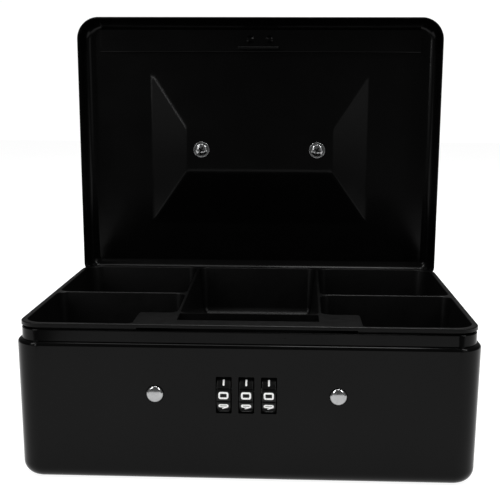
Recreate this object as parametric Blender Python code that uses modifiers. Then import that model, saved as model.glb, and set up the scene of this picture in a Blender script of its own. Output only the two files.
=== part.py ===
"""Steel cash box with a lift-out coin tray, a combination lock and a folding carry handle.

Millimetre sizes are written in metres. The origin is the middle of the underside, X runs to
the right, Y to the back and Z up. The lid is drawn closed and then swung open about its hinge.
"""
from math import atan2, cos, pi, radians, sin, tan

import bmesh
import bpy
from mathutils import Matrix, Vector

# Box and lid
WIDTH = 0.2500
DEPTH = 0.1800
SHEET = 0.0010
FRONT_CORNER = 0.0140
BACK_CORNER = 0.0080
FOOT_RADIUS = 0.0080
SIDE_DRAFT = 0.0013
SHOULDER_Z = 0.0772
SHOULDER_RADIUS = 0.0022
NECK_INSET = 0.0024
NECK_TOP_Z = 0.0835
LID_FRONT_CORNER = 0.0150
LID_EDGE_RADIUS = 0.0080
LID_RIM_Z = 0.0775
LID_TOP_Z = 0.0987
GAP = 0.0003

# Lid hinge, drawn closed and opened by this angle
HINGE_Y = 0.0922
HINGE_Z = 0.0778
OPEN_ANGLE = radians(87.7)
HINGE_X = 0.0750
HINGE_WIDTH = 0.0360
KNUCKLE_RADIUS = 0.00175
HINGE_PIN_RADIUS = 0.0007
LEAF_THICKNESS = 0.0010
LEAF_LAP = 0.0005
BODY_LEAF_BOTTOM_Z = 0.0640
LID_LEAF_TOP_Z = 0.0925
BODY_RIVET_Z = 0.0685
LID_RIVET_Z = 0.0900
RIVET_OFFSET_X = 0.0110

# Handle recess in the lid, with the handle on two posts
RECESS_Y = 0.0012
RECESS_WIDTH = 0.1540
RECESS_DEPTH_Y = 0.1060
RECESS_FLOOR_WIDTH = 0.1030
RECESS_FLOOR_DEPTH_Y = 0.0305
RECESS_DROP = 0.0075
RECESS_CORNER = 0.0050
RECESS_FLOOR_Z = LID_TOP_Z - RECESS_DROP
POST_X = 0.0410
POST_INNER_X = 0.0350
POST_OUTER_X = 0.0490
POST_WIDTH = 0.0090
POST_TOP_Z = 0.0992
HANDLE_Z = 0.0956
HANDLE_REACH = 0.0280
HANDLE_ARM_X = 0.0517
HANDLE_END_X = 0.0448
HANDLE_WIRE_RADIUS = 0.0023
HANDLE_REST_TILT = radians(2.0)
HANDLE_SCREW_RADIUS = 0.0015

# Stiffener rail and strike inside the front of the lid
RAIL_LENGTH = 0.2240
RAIL_FRONT_Y = -0.0825
RAIL_BACK_Y = -0.0665
RAIL_FACE_Z = 0.0940
STRIKE_WIDTH = 0.0270
STRIKE_FRONT_Y = -0.0701
STRIKE_THICKNESS = 0.0015
STRIKE_TIP_Z = 0.0655
STRIKE_FOOT_FRONT_Y = -0.0800
STRIKE_SLOT_WIDTH = 0.0170
STRIKE_SLOT_BOTTOM_Z = 0.0682
STRIKE_SLOT_TOP_Z = 0.0750

# Coin tray
TRAY_RIM_WIDTH = 0.2460
TRAY_RIM_DEPTH = 0.1750
TRAY_TOP_Z = 0.0870
TRAY_RIM_HEIGHT = 0.0025
TRAY_WIDTH = 0.2424
TRAY_DEPTH = 0.1724
TRAY_CORNER = 0.0120
TRAY_BOTTOM_Z = 0.0525
TRAY_FLOOR_Z = 0.0540
TRAY_DRAFT = 0.0026
TRAY_WALL = 0.0015
POCKET_X = 0.1197
POCKET_Y = 0.0847
POCKET_CORNER = 0.0060
LEDGE_CORNER = 0.0025
POCKET_FILLET = 0.0035
DIVIDER = 0.0018
SIDE_DIVIDER_Y = -0.0040
CENTRE_DIVIDER_BACK_X = 0.0417
CENTRE_DIVIDER_FRONT_X = 0.0394
LEDGE_X = 0.0615
LEDGE_BACK_Y = -0.0579
LEDGE_THICKNESS = 0.0018
NOTCH_X = 0.0586
NOTCH_BACK_Y = -0.0600
WELL_FRONT_Y = -0.0760
WELL_BACK_Y = -0.0599

# Combination lock behind the front wall
DIAL_PITCH = 0.0120
DIAL_Y = -0.0811
DIAL_Z = 0.0496
DIAL_RADIUS = 0.0112
DIAL_WIDTH = 0.0076
DIAL_BORE_RADIUS = 0.0018
DIAL_FACES = 10
DIAL_GROOVE = 0.0006
AXLE_RADIUS = 0.0015
AXLE_LENGTH = 0.0440
CAM_RADIUS = 0.0070
CAM_WIDTH = 0.0030
CAM_OFFSET_X = 0.0057
WINDOW_WIDTH = 0.0083
WINDOW_HEIGHT = 0.0200
BUTTON_X = 0.0488
BUTTON_RADIUS = 0.00485
BUTTON_FRONT_Y = -0.0913
BUTTON_COLLAR_FRONT_Y = -0.0880
BUTTON_COLLAR_BACK_Y = -0.0869
BUTTON_COLLAR_RADIUS = 0.0062
BUTTON_STEM_RADIUS = 0.0025
BUTTON_STEM_END_Y = -0.0803
CASE_HALF_WIDTH = 0.0575
CASE_FRONT_Y = -0.0878
CASE_BACK_Y = -0.0606
CASE_BOTTOM_Z = 0.0360
CASE_TOP_Z = 0.0750
CASE_WALL = 0.0015
CHEEK_INNER_X = 0.0200
CHEEK_TOP_Z = 0.0615
GUIDE_FRONT_Y = -0.0836
GUIDE_BACK_Y = -0.0824
STUDS = ((-0.0610, 0.0450), (0.0610, 0.0450), (-0.0300, 0.0310), (0.0300, 0.0310))
STUD_RADIUS = 0.0015
LATCH_HALF_WIDTH = 0.0528
LATCH_Z = 0.0622
LATCH_SHEET = 0.0012
LATCH_FRONT_Y = -0.0875
LATCH_BACK_Y = -0.0786
LATCH_TAB_FRONT_Y = -0.0800
LATCH_TAB_WIDTH = 0.0080
LATCH_TAB_BOTTOM_Z = 0.0445
FINGER_TIP_Z = 0.0550
FINGER_WIDTH = 0.0020
HOOK_HALF_WIDTH = 0.0070
HOOK_BACK_Y = -0.0664
HOOK_TIP_Y = -0.0710
HOOK_UNDERSIDE_Z = 0.0686

MATERIALS = {
    "black_paint": ((0.014, 0.014, 0.015), 0.45, 0.0),
    "black_plastic": ((0.010, 0.010, 0.011), 0.50, 0.0),
    "lock_plastic": ((0.030, 0.030, 0.032), 0.55, 0.0),
    "chrome": ((0.78, 0.79, 0.81), 0.12, 1.0),
    "zinc_steel": ((0.48, 0.48, 0.47), 0.38, 1.0),
    "spring_steel": ((0.40, 0.40, 0.41), 0.30, 1.0),
    "brass": ((0.66, 0.50, 0.26), 0.30, 1.0),
}

for leftover in list(bpy.data.objects):
    bpy.data.objects.remove(leftover, do_unlink=True)

box_collection = bpy.data.collections.new("cash_box")
tool_collection = bpy.data.collections.new("cutters")
for collection in (box_collection, tool_collection):
    bpy.context.scene.collection.children.link(collection)


# Shared helpers


def make_materials():
    """One Principled material for each finish, by name."""
    made = {}
    for name, (colour, roughness, metallic) in MATERIALS.items():
        material = bpy.data.materials.new(name)
        material.use_nodes = True
        shader = material.node_tree.nodes["Principled BSDF"]
        shader.inputs["Base Color"].default_value = (*colour, 1.0)
        shader.inputs["Roughness"].default_value = roughness
        shader.inputs["Metallic"].default_value = metallic
        material.diffuse_color = (*colour, 1.0)
        made[name] = material
    return made


materials = make_materials()


def axis_empty(name, location, parent=None):
    """An empty on a joint's axis, which the moving pieces are parented to."""
    empty = bpy.data.objects.new(name, None)
    empty.empty_display_size = 0.02
    empty.location = location
    empty.parent = parent
    box_collection.objects.link(empty)
    return empty


def add_object(name, data, material, parent=None, offset=(0, 0, 0)):
    """Links a piece, or a tool when it has no material."""
    piece = bpy.data.objects.new(name, data)
    if material:
        data.materials.append(materials[material])
        box_collection.objects.link(piece)
    else:
        piece.display_type = "WIRE"
        piece.hide_render = True
        tool_collection.objects.link(piece)
    piece.parent = parent
    piece.location = offset
    return piece


def mesh_from(name, bm, smooth_angle=None):
    """A mesh from a bmesh, shaded smooth below the given edge angle."""
    mesh = bpy.data.meshes.new(name)
    bmesh.ops.recalc_face_normals(bm, faces=bm.faces)
    bm.to_mesh(mesh)
    bm.free()
    if smooth_angle:
        mesh.polygons.foreach_set("use_smooth", [True] * len(mesh.polygons))
        mesh.set_sharp_from_angle(angle=smooth_angle)
    return mesh


def block(name, low, high, material=None, parent=None, offset=(0, 0, 0), bevel=0.0):
    """A box between two corners."""
    bm = bmesh.new()
    size = Vector(high) - Vector(low)
    middle = (Vector(high) + Vector(low)) / 2
    place = Matrix.Translation(middle) @ Matrix.Diagonal((*size, 1.0))
    bmesh.ops.create_cube(bm, size=1.0, matrix=place)
    piece = add_object(name, mesh_from(name, bm), material, parent, offset)
    if bevel:
        rounding = piece.modifiers.new("rounding", "BEVEL")
        rounding.width = bevel
        rounding.segments = 2
    return piece


def rounded_outline(corners, radii, inset=0.0, segments=6):
    """Points of a counter-clockwise polygon, moved inward by inset, with rounded corners."""
    if not isinstance(radii, list):
        radii = [radii] * len(corners)
    points = []
    for index, (corner, radius) in enumerate(zip(corners, radii)):
        here = Vector(corner)
        ahead = (Vector(corners[(index + 1) % len(corners)]) - here).normalized()
        behind = (Vector(corners[index - 1]) - here).normalized()
        turn = ahead.y * behind.x - ahead.x * behind.y
        convex = turn < 0
        normals = Vector((behind.y, -behind.x)) + Vector((-ahead.y, ahead.x))
        here = here + normals * inset * 2 / normals.length_squared
        bend = max(radius - inset, 0.0004) if convex else radius + inset
        half = behind.angle(ahead) / 2
        centre = here + (ahead + behind).normalized() * bend / sin(half)
        start = here + behind * bend / tan(half) - centre
        sweep = (pi - 2 * half) * (1 if convex else -1)
        first = atan2(start.y, start.x)
        for step in range(segments + 1):
            angle = first + sweep * step / segments
            points.append((centre.x + bend * cos(angle), centre.y + bend * sin(angle)))
    return points


def rectangle(width, depth, middle_y=0.0):
    """Corners of a rectangle, counter-clockwise."""
    x = width / 2
    y = depth / 2
    return [(-x, middle_y - y), (x, middle_y - y), (x, middle_y + y), (-x, middle_y + y)]


def profile_arc(inset, z, radius, start, stop, steps=4):
    """Profile points (inset, z) along an arc; 0 degrees points outward and 90 up."""
    angles = [radians(start + (stop - start) * step / steps) for step in range(steps + 1)]
    return [(inset - radius * cos(angle), z + radius * sin(angle)) for angle in angles]


def lofted(name, levels, material=None, parent=None, offset=(0, 0, 0), smooth_angle=None):
    """A closed solid skinned over rings, each a list of (x, y) with its height."""
    bm = bmesh.new()
    rings = [[bm.verts.new((x, y, z)) for x, y in points] for points, z in levels]
    for low, high in zip(rings, rings[1:]):
        for index in range(len(low)):
            after = (index + 1) % len(low)
            bm.faces.new((low[index], low[after], high[after], high[index]))
    bm.faces.new(reversed(rings[0]))
    bm.faces.new(rings[-1])
    return add_object(name, mesh_from(name, bm, smooth_angle), material, parent, offset)


def turned(name, profile, axis, location, material=None, parent=None, steps=24):
    """A shape turned about its axis from (radius, height) points, with a Screw modifier."""
    closes = profile[0][0] > 0
    mesh = bpy.data.meshes.new(name)
    edges = [(index, index + 1) for index in range(len(profile) - 1)]
    if closes:
        edges.append((len(profile) - 1, 0))
    mesh.from_pydata([(radius, 0.0, height) for radius, height in profile], edges, [])
    piece = add_object(name, mesh, material, parent, location)
    piece.rotation_euler = {"X": (0, pi / 2, 0), "Y": (-pi / 2, 0, 0), "Z": (0, 0, 0)}[axis]
    screw = piece.modifiers.new("turning", "SCREW")
    screw.steps = steps
    screw.render_steps = steps
    screw.use_merge_vertices = True
    screw.merge_threshold = 0.00001
    screw.use_normal_flip = True
    screw.use_smooth_shade = True
    return piece


def wire(name, points, radius, material, parent=None, offset=(0, 0, 0), resolution=2):
    """A round wire along points, with closed ends."""
    curve = bpy.data.curves.new(name, "CURVE")
    curve.dimensions = "3D"
    curve.bevel_depth = radius
    curve.bevel_resolution = resolution
    curve.use_fill_caps = True
    path = curve.splines.new("POLY")
    path.points.add(len(points) - 1)
    for point, place in zip(path.points, points):
        point.co = (*place, 1.0)
    path.use_smooth = True
    return add_object(name, curve, material, parent, offset)


def combine(piece, tool, operation="DIFFERENCE"):
    """Cuts a tool out of a piece, or joins it on."""
    boolean = piece.modifiers.new(tool.name, "BOOLEAN")
    boolean.operation = operation
    boolean.solver = "EXACT"
    boolean.object = tool


def rounded_rod(radius, start, stop, edge):
    """Profile of a solid rod with its two end edges rounded off."""
    return [
        (0.0, start),
        (radius - edge, start),
        (radius, start + edge),
        (radius, stop - edge),
        (radius - edge, stop),
        (0.0, stop),
    ]


# Box body


def wall_y(z):
    """Distance of the front or back wall's outer face from the middle at height z."""
    straight = SHOULDER_Z - SHOULDER_RADIUS - FOOT_RADIUS
    return DEPTH / 2 - SIDE_DRAFT * (SHOULDER_Z - SHOULDER_RADIUS - z) / straight


def box_body():
    """Drawn pan with a rounded foot, a rolled shoulder and a set-in neck."""
    bend_z = SHOULDER_Z - SHOULDER_RADIUS
    foot = SIDE_DRAFT + FOOT_RADIUS
    outside = profile_arc(foot, FOOT_RADIUS, FOOT_RADIUS, -90, 0, 5)
    outside += profile_arc(SHOULDER_RADIUS, bend_z, SHOULDER_RADIUS, 0, 90)
    outside += [(NECK_INSET, SHOULDER_Z), (NECK_INSET, NECK_TOP_Z - 0.0003)]
    outside += [(NECK_INSET + 0.0002, NECK_TOP_Z)]
    inner_neck = NECK_INSET + SHEET
    inside = [(inner_neck - 0.0002, NECK_TOP_Z), (inner_neck, NECK_TOP_Z - 0.0003)]
    inside += [(inner_neck, SHOULDER_Z - SHEET)]
    inside += profile_arc(SHOULDER_RADIUS, bend_z, SHOULDER_RADIUS - SHEET, 90, 0)
    inside += profile_arc(foot, FOOT_RADIUS, FOOT_RADIUS - SHEET, 0, -90, 5)
    corners = rectangle(WIDTH, DEPTH)
    radii = [FRONT_CORNER, FRONT_CORNER, BACK_CORNER, BACK_CORNER]
    levels = [(rounded_outline(corners, radii, inset), z) for inset, z in outside + inside]
    body = lofted("box_body", levels, "black_paint", smooth_angle=radians(35))
    for number, x in enumerate(dial_places(), 1):
        half = WINDOW_WIDTH / 2
        low = (x - half, -DEPTH / 2 - 0.005, DIAL_Z - WINDOW_HEIGHT / 2)
        high = (x + half, -DEPTH / 2 + 0.005, DIAL_Z + WINDOW_HEIGHT / 2)
        combine(body, block(f"cut_window_{number}", low, high))
    for side, x in (("left", -BUTTON_X), ("right", BUTTON_X)):
        hole = rounded_rod(BUTTON_RADIUS + GAP, -0.005, 0.005, 0.0001)
        place = (x, -DEPTH / 2, DIAL_Z)
        combine(body, turned(f"cut_button_{side}", hole, "Y", place, steps=32))
    for name, x in hinge_rivet_places():
        hole = rounded_rod(0.0018, -0.004, 0.004, 0.0001)
        place = (x, DEPTH / 2, BODY_RIVET_Z)
        combine(body, turned(f"cut_body_{name}", hole, "Y", place, steps=16))
    return body


# Coin tray


def pocket(name, corners, floor_z=TRAY_FLOOR_Z):
    """Cutter for one tray pocket, with drafted walls and a rounded floor edge."""
    drop = TRAY_TOP_Z - floor_z
    profile = [(TRAY_DRAFT + POCKET_FILLET, floor_z)]
    profile += profile_arc(TRAY_DRAFT + POCKET_FILLET, floor_z + POCKET_FILLET, POCKET_FILLET, -60, 0, 3)
    profile += [(0.0, TRAY_TOP_Z), (-0.0003, TRAY_TOP_Z + drop * 0.1)]
    outermost = {(x, y) for x in (-POCKET_X, POCKET_X) for y in (-POCKET_Y, POCKET_Y)}
    outer_radius = TRAY_CORNER - TRAY_WALL
    radii = [outer_radius if corner in outermost else POCKET_CORNER for corner in corners]
    for index, (x, y) in enumerate(corners):
        if abs(x) == LEDGE_X:
            radii[index] = LEDGE_CORNER
    levels = [(rounded_outline(corners, radii, inset, 4), z) for inset, z in profile]
    return lofted(name, levels)


def divider_x(y):
    """Middle of the right-hand centre divider at y, which closes in toward the front."""
    share = (y - LEDGE_BACK_Y) / (POCKET_Y - LEDGE_BACK_Y)
    return CENTRE_DIVIDER_FRONT_X + (CENTRE_DIVIDER_BACK_X - CENTRE_DIVIDER_FRONT_X) * share


def coin_tray(parent, offset):
    """Moulded tray: five pockets, a flat ledge over the lock and a well for the strike."""
    floor_inset = TRAY_DRAFT + 0.003
    wall_corners = rectangle(TRAY_WIDTH, TRAY_DEPTH)
    rim_corners = rectangle(TRAY_RIM_WIDTH, TRAY_RIM_DEPTH)
    rim_z = TRAY_TOP_Z - TRAY_RIM_HEIGHT
    wall_levels = [(floor_inset, TRAY_BOTTOM_Z), (TRAY_DRAFT + 0.001, TRAY_BOTTOM_Z + 0.001)]
    wall_levels += [(TRAY_DRAFT, TRAY_BOTTOM_Z + 0.003), (0.0, rim_z)]
    rim_levels = [(0.0, rim_z), (0.0, TRAY_TOP_Z - 0.001), (0.0004, TRAY_TOP_Z - 0.0003)]
    rim_levels += [(0.0012, TRAY_TOP_Z)]
    levels = [(rounded_outline(wall_corners, TRAY_CORNER, inset), z) for inset, z in wall_levels]
    levels += [(rounded_outline(rim_corners, TRAY_CORNER, inset), z) for inset, z in rim_levels]
    tray = lofted("coin_tray", levels, "black_plastic", parent, offset)

    half = DIVIDER / 2
    mid_back = SIDE_DIVIDER_Y + half
    mid_front = SIDE_DIVIDER_Y - half
    centre = [
        (-divider_x(LEDGE_BACK_Y) + half, NOTCH_BACK_Y + TRAY_WALL),
        (divider_x(LEDGE_BACK_Y) - half, NOTCH_BACK_Y + TRAY_WALL),
        (divider_x(POCKET_Y) - half, POCKET_Y),
        (-divider_x(POCKET_Y) + half, POCKET_Y),
    ]
    back_right = [
        (divider_x(mid_back) + half, mid_back),
        (POCKET_X, mid_back),
        (POCKET_X, POCKET_Y),
        (divider_x(POCKET_Y) + half, POCKET_Y),
    ]
    front_right = [
        (LEDGE_X, -POCKET_Y),
        (POCKET_X, -POCKET_Y),
        (POCKET_X, mid_front),
        (divider_x(mid_front) + half, mid_front),
        (divider_x(LEDGE_BACK_Y) + half, LEDGE_BACK_Y),
        (LEDGE_X, LEDGE_BACK_Y),
    ]
    pockets = {"centre": centre, "back_right": back_right, "front_right": front_right}
    for side in ("back", "front"):
        mirrored = [(-x, y) for x, y in reversed(pockets[side + "_right"])]
        pockets[side + "_left"] = mirrored
    cutters = [pocket("cut_pocket_" + name, corners) for name, corners in pockets.items()]
    ledge_underside = TRAY_TOP_Z - LEDGE_THICKNESS
    low = (-NOTCH_X, -DEPTH / 2, TRAY_BOTTOM_Z - 0.002)
    cutters.append(block("cut_lock_notch", low, (NOTCH_X, NOTCH_BACK_Y, ledge_underside)))
    well_x = divider_x(LEDGE_BACK_Y) - half
    low = (-well_x, WELL_FRONT_Y, ledge_underside - 0.002)
    cutters.append(block("cut_strike_well", low, (well_x, WELL_BACK_Y, TRAY_TOP_Z + 0.002)))
    for cutter in cutters:
        cutter.parent = parent
        cutter.location = offset
        combine(tray, cutter)
    return tray


# Lid


def recess_solid(name, rise, extra, parent, offset):
    """The sunk pyramid-shaped recess, raised by rise and carried on upward by extra."""
    slope = (RECESS_WIDTH - RECESS_FLOOR_WIDTH) / 2 / RECESS_DROP
    slope_y = (RECESS_DEPTH_Y - RECESS_FLOOR_DEPTH_Y) / 2 / RECESS_DROP
    floor_z = RECESS_FLOOR_Z - SHEET + rise
    levels = []
    for height in (0.0, RECESS_DROP, RECESS_DROP + extra):
        grown = min(height, RECESS_DROP)
        width = RECESS_FLOOR_WIDTH + 2 * slope * grown
        depth = RECESS_FLOOR_DEPTH_Y + 2 * slope_y * grown
        corners = rectangle(width, depth, RECESS_Y)
        levels.append((rounded_outline(corners, RECESS_CORNER, 0.0, 4), floor_z + height))
    return lofted(name, levels, None, parent, offset)


def lid_shell(parent, offset):
    """Drawn lid with rounded edges and a recess for the handle."""
    edge_z = LID_TOP_Z - LID_EDGE_RADIUS
    inside = profile_arc(LID_EDGE_RADIUS, edge_z, LID_EDGE_RADIUS - SHEET, 90, 0, 5)
    inside += [(SHEET, LID_RIM_Z + 0.0002), (SHEET - 0.0002, LID_RIM_Z)]
    outside = [(0.0002, LID_RIM_Z), (0.0, LID_RIM_Z + 0.0002)]
    outside += profile_arc(LID_EDGE_RADIUS, edge_z, LID_EDGE_RADIUS, 0, 90, 5)
    corners = rectangle(WIDTH, DEPTH)
    radii = [LID_FRONT_CORNER, LID_FRONT_CORNER, BACK_CORNER, BACK_CORNER]
    levels = [(rounded_outline(corners, radii, i), z) for i, z in inside + outside]
    shell = lofted("lid_shell", levels, "black_paint", parent, offset, radians(35))
    combine(shell, recess_solid("join_recess", 0.0, 0.0005, parent, offset), "UNION")
    combine(shell, recess_solid("cut_recess", SHEET, 0.002, parent, offset))
    for side, x in (("left", -POST_X), ("right", POST_X)):
        hole = rounded_rod(HANDLE_SCREW_RADIUS + 0.0006, -0.003, 0.003, 0.0001)
        place = Vector((x, RECESS_Y, RECESS_FLOOR_Z)) + Vector(offset)
        cutter = turned(f"cut_handle_hole_{side}", hole, "Z", place, None, parent, 16)
        combine(shell, cutter)
    for name, x in hinge_rivet_places():
        hole = rounded_rod(0.0018, -0.004, 0.004, 0.0001)
        place = Vector((x, DEPTH / 2, LID_RIVET_Z)) + Vector(offset)
        combine(shell, turned(f"cut_lid_{name}", hole, "Y", place, None, parent, 16))
    return shell


def front_rail(parent, offset):
    """Channel along the inside of the lid's front, slotted for the strike."""
    half = RAIL_LENGTH / 2
    top_z = LID_TOP_Z - SHEET - GAP
    low = (-half, RAIL_FRONT_Y, RAIL_FACE_Z)
    rail = block("lid_front_rail", low, (half, RAIL_BACK_Y, top_z), "black_paint", parent, offset)
    inner_low = (-half - 0.001, RAIL_FRONT_Y + SHEET, RAIL_FACE_Z + SHEET)
    inner_high = (half + 0.001, RAIL_BACK_Y - SHEET, top_z + 0.001)
    combine(rail, block("cut_rail_channel", inner_low, inner_high, None, parent, offset))
    slot = STRIKE_WIDTH / 2 + 0.0005
    slot_low = (-slot, STRIKE_FRONT_Y - 0.0005, RAIL_FACE_Z - 0.001)
    slot_high = (slot, STRIKE_FRONT_Y + STRIKE_THICKNESS + 0.0005, RAIL_FACE_Z + 0.002)
    combine(rail, block("cut_rail_slot", slot_low, slot_high, None, parent, offset))
    for side, x in strike_rivet_places():
        hole = rounded_rod(0.0016, -0.003, 0.003, 0.0001)
        place = Vector((x, STRIKE_FOOT_FRONT_Y + 0.0045, RAIL_FACE_Z)) + Vector(offset)
        combine(rail, turned(f"cut_rail_rivet_{side}", hole, "Z", place, None, parent, 16))
    return rail


def strike_rivet_places():
    """The two rivets that hold the strike's foot to the rail."""
    return (("left", -STRIKE_WIDTH / 4), ("right", STRIKE_WIDTH / 4))


def lid_strike(parent, offset):
    """Bent plate whose window the latch hook enters."""
    half = STRIKE_WIDTH / 2
    foot_z = RAIL_FACE_Z + SHEET + GAP
    back_y = STRIKE_FRONT_Y + STRIKE_THICKNESS
    low = (-half, STRIKE_FRONT_Y, STRIKE_TIP_Z)
    high = (half, back_y, foot_z + SHEET)
    strike = block("lid_strike", low, high, "black_paint", parent, offset)
    foot_low = (-half, STRIKE_FOOT_FRONT_Y, foot_z)
    foot_high = (half, STRIKE_FRONT_Y + 0.0005, foot_z + SHEET)
    combine(strike, block("join_strike_foot", foot_low, foot_high, None, parent, offset), "UNION")
    slot_low = (-STRIKE_SLOT_WIDTH / 2, STRIKE_FRONT_Y - 0.001, STRIKE_SLOT_BOTTOM_Z)
    slot_high = (STRIKE_SLOT_WIDTH / 2, back_y + 0.001, STRIKE_SLOT_TOP_Z)
    combine(strike, block("cut_strike_window", slot_low, slot_high, None, parent, offset))
    for side, x in strike_rivet_places():
        place = Vector((x, STRIKE_FOOT_FRONT_Y + 0.0045, foot_z)) + Vector(offset)
        hole = rounded_rod(0.0016, -0.003, 0.003, 0.0001)
        combine(strike, turned(f"cut_strike_rivet_{side}", hole, "Z", place, None, parent, 16))
        head_z = RAIL_FACE_Z - GAP
        tail_z = foot_z + SHEET + GAP
        profile = [
            (0.0, head_z - foot_z - 0.0010),
            (0.0014, head_z - foot_z - 0.0009),
            (0.0026, head_z - foot_z - 0.0003),
            (0.0026, head_z - foot_z),
            (0.0013, head_z - foot_z),
            (0.0013, tail_z - foot_z),
            (0.0022, tail_z - foot_z),
            (0.0020, tail_z - foot_z + 0.0004),
            (0.0, tail_z - foot_z + 0.0004),
        ]
        turned(f"strike_rivet_{side}", profile, "Z", place, "black_paint", parent, 20)
    return strike


# Handle


def handle_mount(side, sign, parent, offset):
    """Post on the lid, held from inside by a screw and washer."""
    inner = sign * POST_INNER_X
    outer = sign * POST_OUTER_X
    foot_z = RECESS_FLOOR_Z + GAP
    low = (min(inner, outer), RECESS_Y - POST_WIDTH / 2, foot_z)
    high = (max(inner, outer), RECESS_Y + POST_WIDTH / 2, POST_TOP_Z)
    post = block(f"handle_post_{side}", low, high, "chrome", parent, offset, 0.0009)
    bore = rounded_rod(HANDLE_WIRE_RADIUS + 0.00035, -0.0047, 0.0047, 0.0001)
    place = Vector((outer, RECESS_Y, HANDLE_Z)) + Vector(offset)
    combine(post, turned(f"cut_post_bore_{side}", bore, "X", place, None, parent, 20))
    thread = rounded_rod(HANDLE_SCREW_RADIUS + GAP, -0.002, 0.0050, 0.0001)
    place = Vector((sign * POST_X, RECESS_Y, foot_z)) + Vector(offset)
    combine(post, turned(f"cut_post_thread_{side}", thread, "Z", place, None, parent, 16))

    washer_top = -SHEET - GAP
    washer_bottom = washer_top - 0.0005
    place = Vector((sign * POST_X, RECESS_Y, RECESS_FLOOR_Z)) + Vector(offset)
    ring = [
        (0.0020, washer_bottom),
        (0.0055, washer_bottom),
        (0.00565, washer_bottom + 0.0001),
        (0.00565, washer_top),
        (0.0020, washer_top),
    ]
    turned(f"handle_washer_{side}", ring, "Z", place, "chrome", parent, 32)

    head_top = washer_bottom - GAP
    profile = [
        (0.0, head_top - 0.0015),
        (0.0024, head_top - 0.0015),
        (0.0036, head_top - 0.0012),
        (0.00425, head_top - 0.0006),
        (0.00425, head_top),
        (HANDLE_SCREW_RADIUS, head_top),
        (HANDLE_SCREW_RADIUS, 0.0042),
        (HANDLE_SCREW_RADIUS - 0.0004, 0.0046),
        (0.0, 0.0046),
    ]
    screw = turned(f"handle_screw_{side}", profile, "Z", place, "chrome", parent, 24)
    for turn, sizes in (("a", (0.0022, 0.0005)), ("b", (0.0005, 0.0022))):
        middle = Vector((sign * POST_X, RECESS_Y, RECESS_FLOOR_Z + head_top - 0.0015))
        reach = Vector((*sizes, 0.0009))
        cross = block(f"cut_cross_{turn}_{side}", middle - reach, middle + reach, None, parent, offset)
        combine(screw, cross)


def bent_path(corners, radii, steps=6):
    """Points of an open path in 3D with each inner corner rounded."""
    points = [Vector(corners[0])]
    for before, here, after, radius in zip(corners, corners[1:], corners[2:], radii):
        here = Vector(here)
        behind = (Vector(before) - here).normalized()
        ahead = (Vector(after) - here).normalized()
        half = behind.angle(ahead) / 2
        centre = here + (behind + ahead).normalized() * radius / sin(half)
        start = here + behind * radius / tan(half) - centre
        normal = behind.cross(ahead)
        for step in range(steps + 1):
            turn = -(pi - 2 * half) * step / steps
            points.append(centre + Matrix.Rotation(turn, 3, normal) @ start)
    points.append(Vector(corners[-1]))
    return points


def handle_bail(parent):
    """Round-wire carry handle whose bent-in ends turn in the posts."""
    corners = [
        (-HANDLE_END_X, 0, 0),
        (-HANDLE_ARM_X, 0, 0),
        (-HANDLE_ARM_X, HANDLE_REACH, 0),
        (HANDLE_ARM_X, HANDLE_REACH, 0),
        (HANDLE_ARM_X, 0, 0),
        (HANDLE_END_X, 0, 0),
    ]
    points = bent_path(corners, (0.0026, 0.0090, 0.0090, 0.0026))
    return wire("handle_bail", points, HANDLE_WIRE_RADIUS, "chrome", parent, resolution=3)


# Hinges


def hinge_rivet_places():
    """Names and x places of the rivets in both hinges."""
    places = []
    for side, x in (("left", -HINGE_X), ("right", HINGE_X)):
        places.append((f"rivet_{side}_a", x - RIVET_OFFSET_X))
        places.append((f"rivet_{side}_b", x + RIVET_OFFSET_X))
    return places


def knuckle(name, start_x, stop_x, parent, offset):
    """Solid round knuckle between two x places, on the hinge line."""
    place = Vector((0.0, HINGE_Y, HINGE_Z)) + Vector(offset)
    profile = rounded_rod(KNUCKLE_RADIUS, start_x, stop_x, 0.0001)
    return turned(name, profile, "X", place, None, parent, 20)


def hinge_leaf(name, x, plate_z, knuckles, rivet_z, parent=None, offset=(0, 0, 0)):
    """Leaf plate with its knuckles, its pin bore and its rivet holes."""
    front_y = DEPTH / 2 + GAP
    low = (x - HINGE_WIDTH / 2, front_y, plate_z[0])
    high = (x + HINGE_WIDTH / 2, front_y + LEAF_THICKNESS, plate_z[1])
    leaf = block(name, low, high, "black_paint", parent, offset)
    for number, (start_x, stop_x) in enumerate(knuckles):
        tool = knuckle(f"join_{name}_{number}", start_x, stop_x, parent, offset)
        combine(leaf, tool, "UNION")
        neck_low = (start_x, front_y, min(HINGE_Z, plate_z[1] - LEAF_LAP))
        neck_high = (stop_x, front_y + LEAF_THICKNESS, max(HINGE_Z, plate_z[0] + LEAF_LAP))
        neck = block(f"join_{name}_neck_{number}", neck_low, neck_high, None, parent, offset)
        combine(leaf, neck, "UNION")
    bore = rounded_rod(HINGE_PIN_RADIUS + GAP, x - 0.02, x + 0.02, 0.0001)
    place = Vector((0.0, HINGE_Y, HINGE_Z)) + Vector(offset)
    combine(leaf, turned(f"cut_bore_{name}", bore, "X", place, None, parent, 16))
    for number, rivet_x in enumerate((x - RIVET_OFFSET_X, x + RIVET_OFFSET_X)):
        hole = rounded_rod(0.0018, -0.004, 0.004, 0.0001)
        place = Vector((rivet_x, DEPTH / 2, rivet_z)) + Vector(offset)
        combine(leaf, turned(f"cut_{name}_hole_{number}", hole, "Y", place, None, parent, 16))
    return leaf


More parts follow.
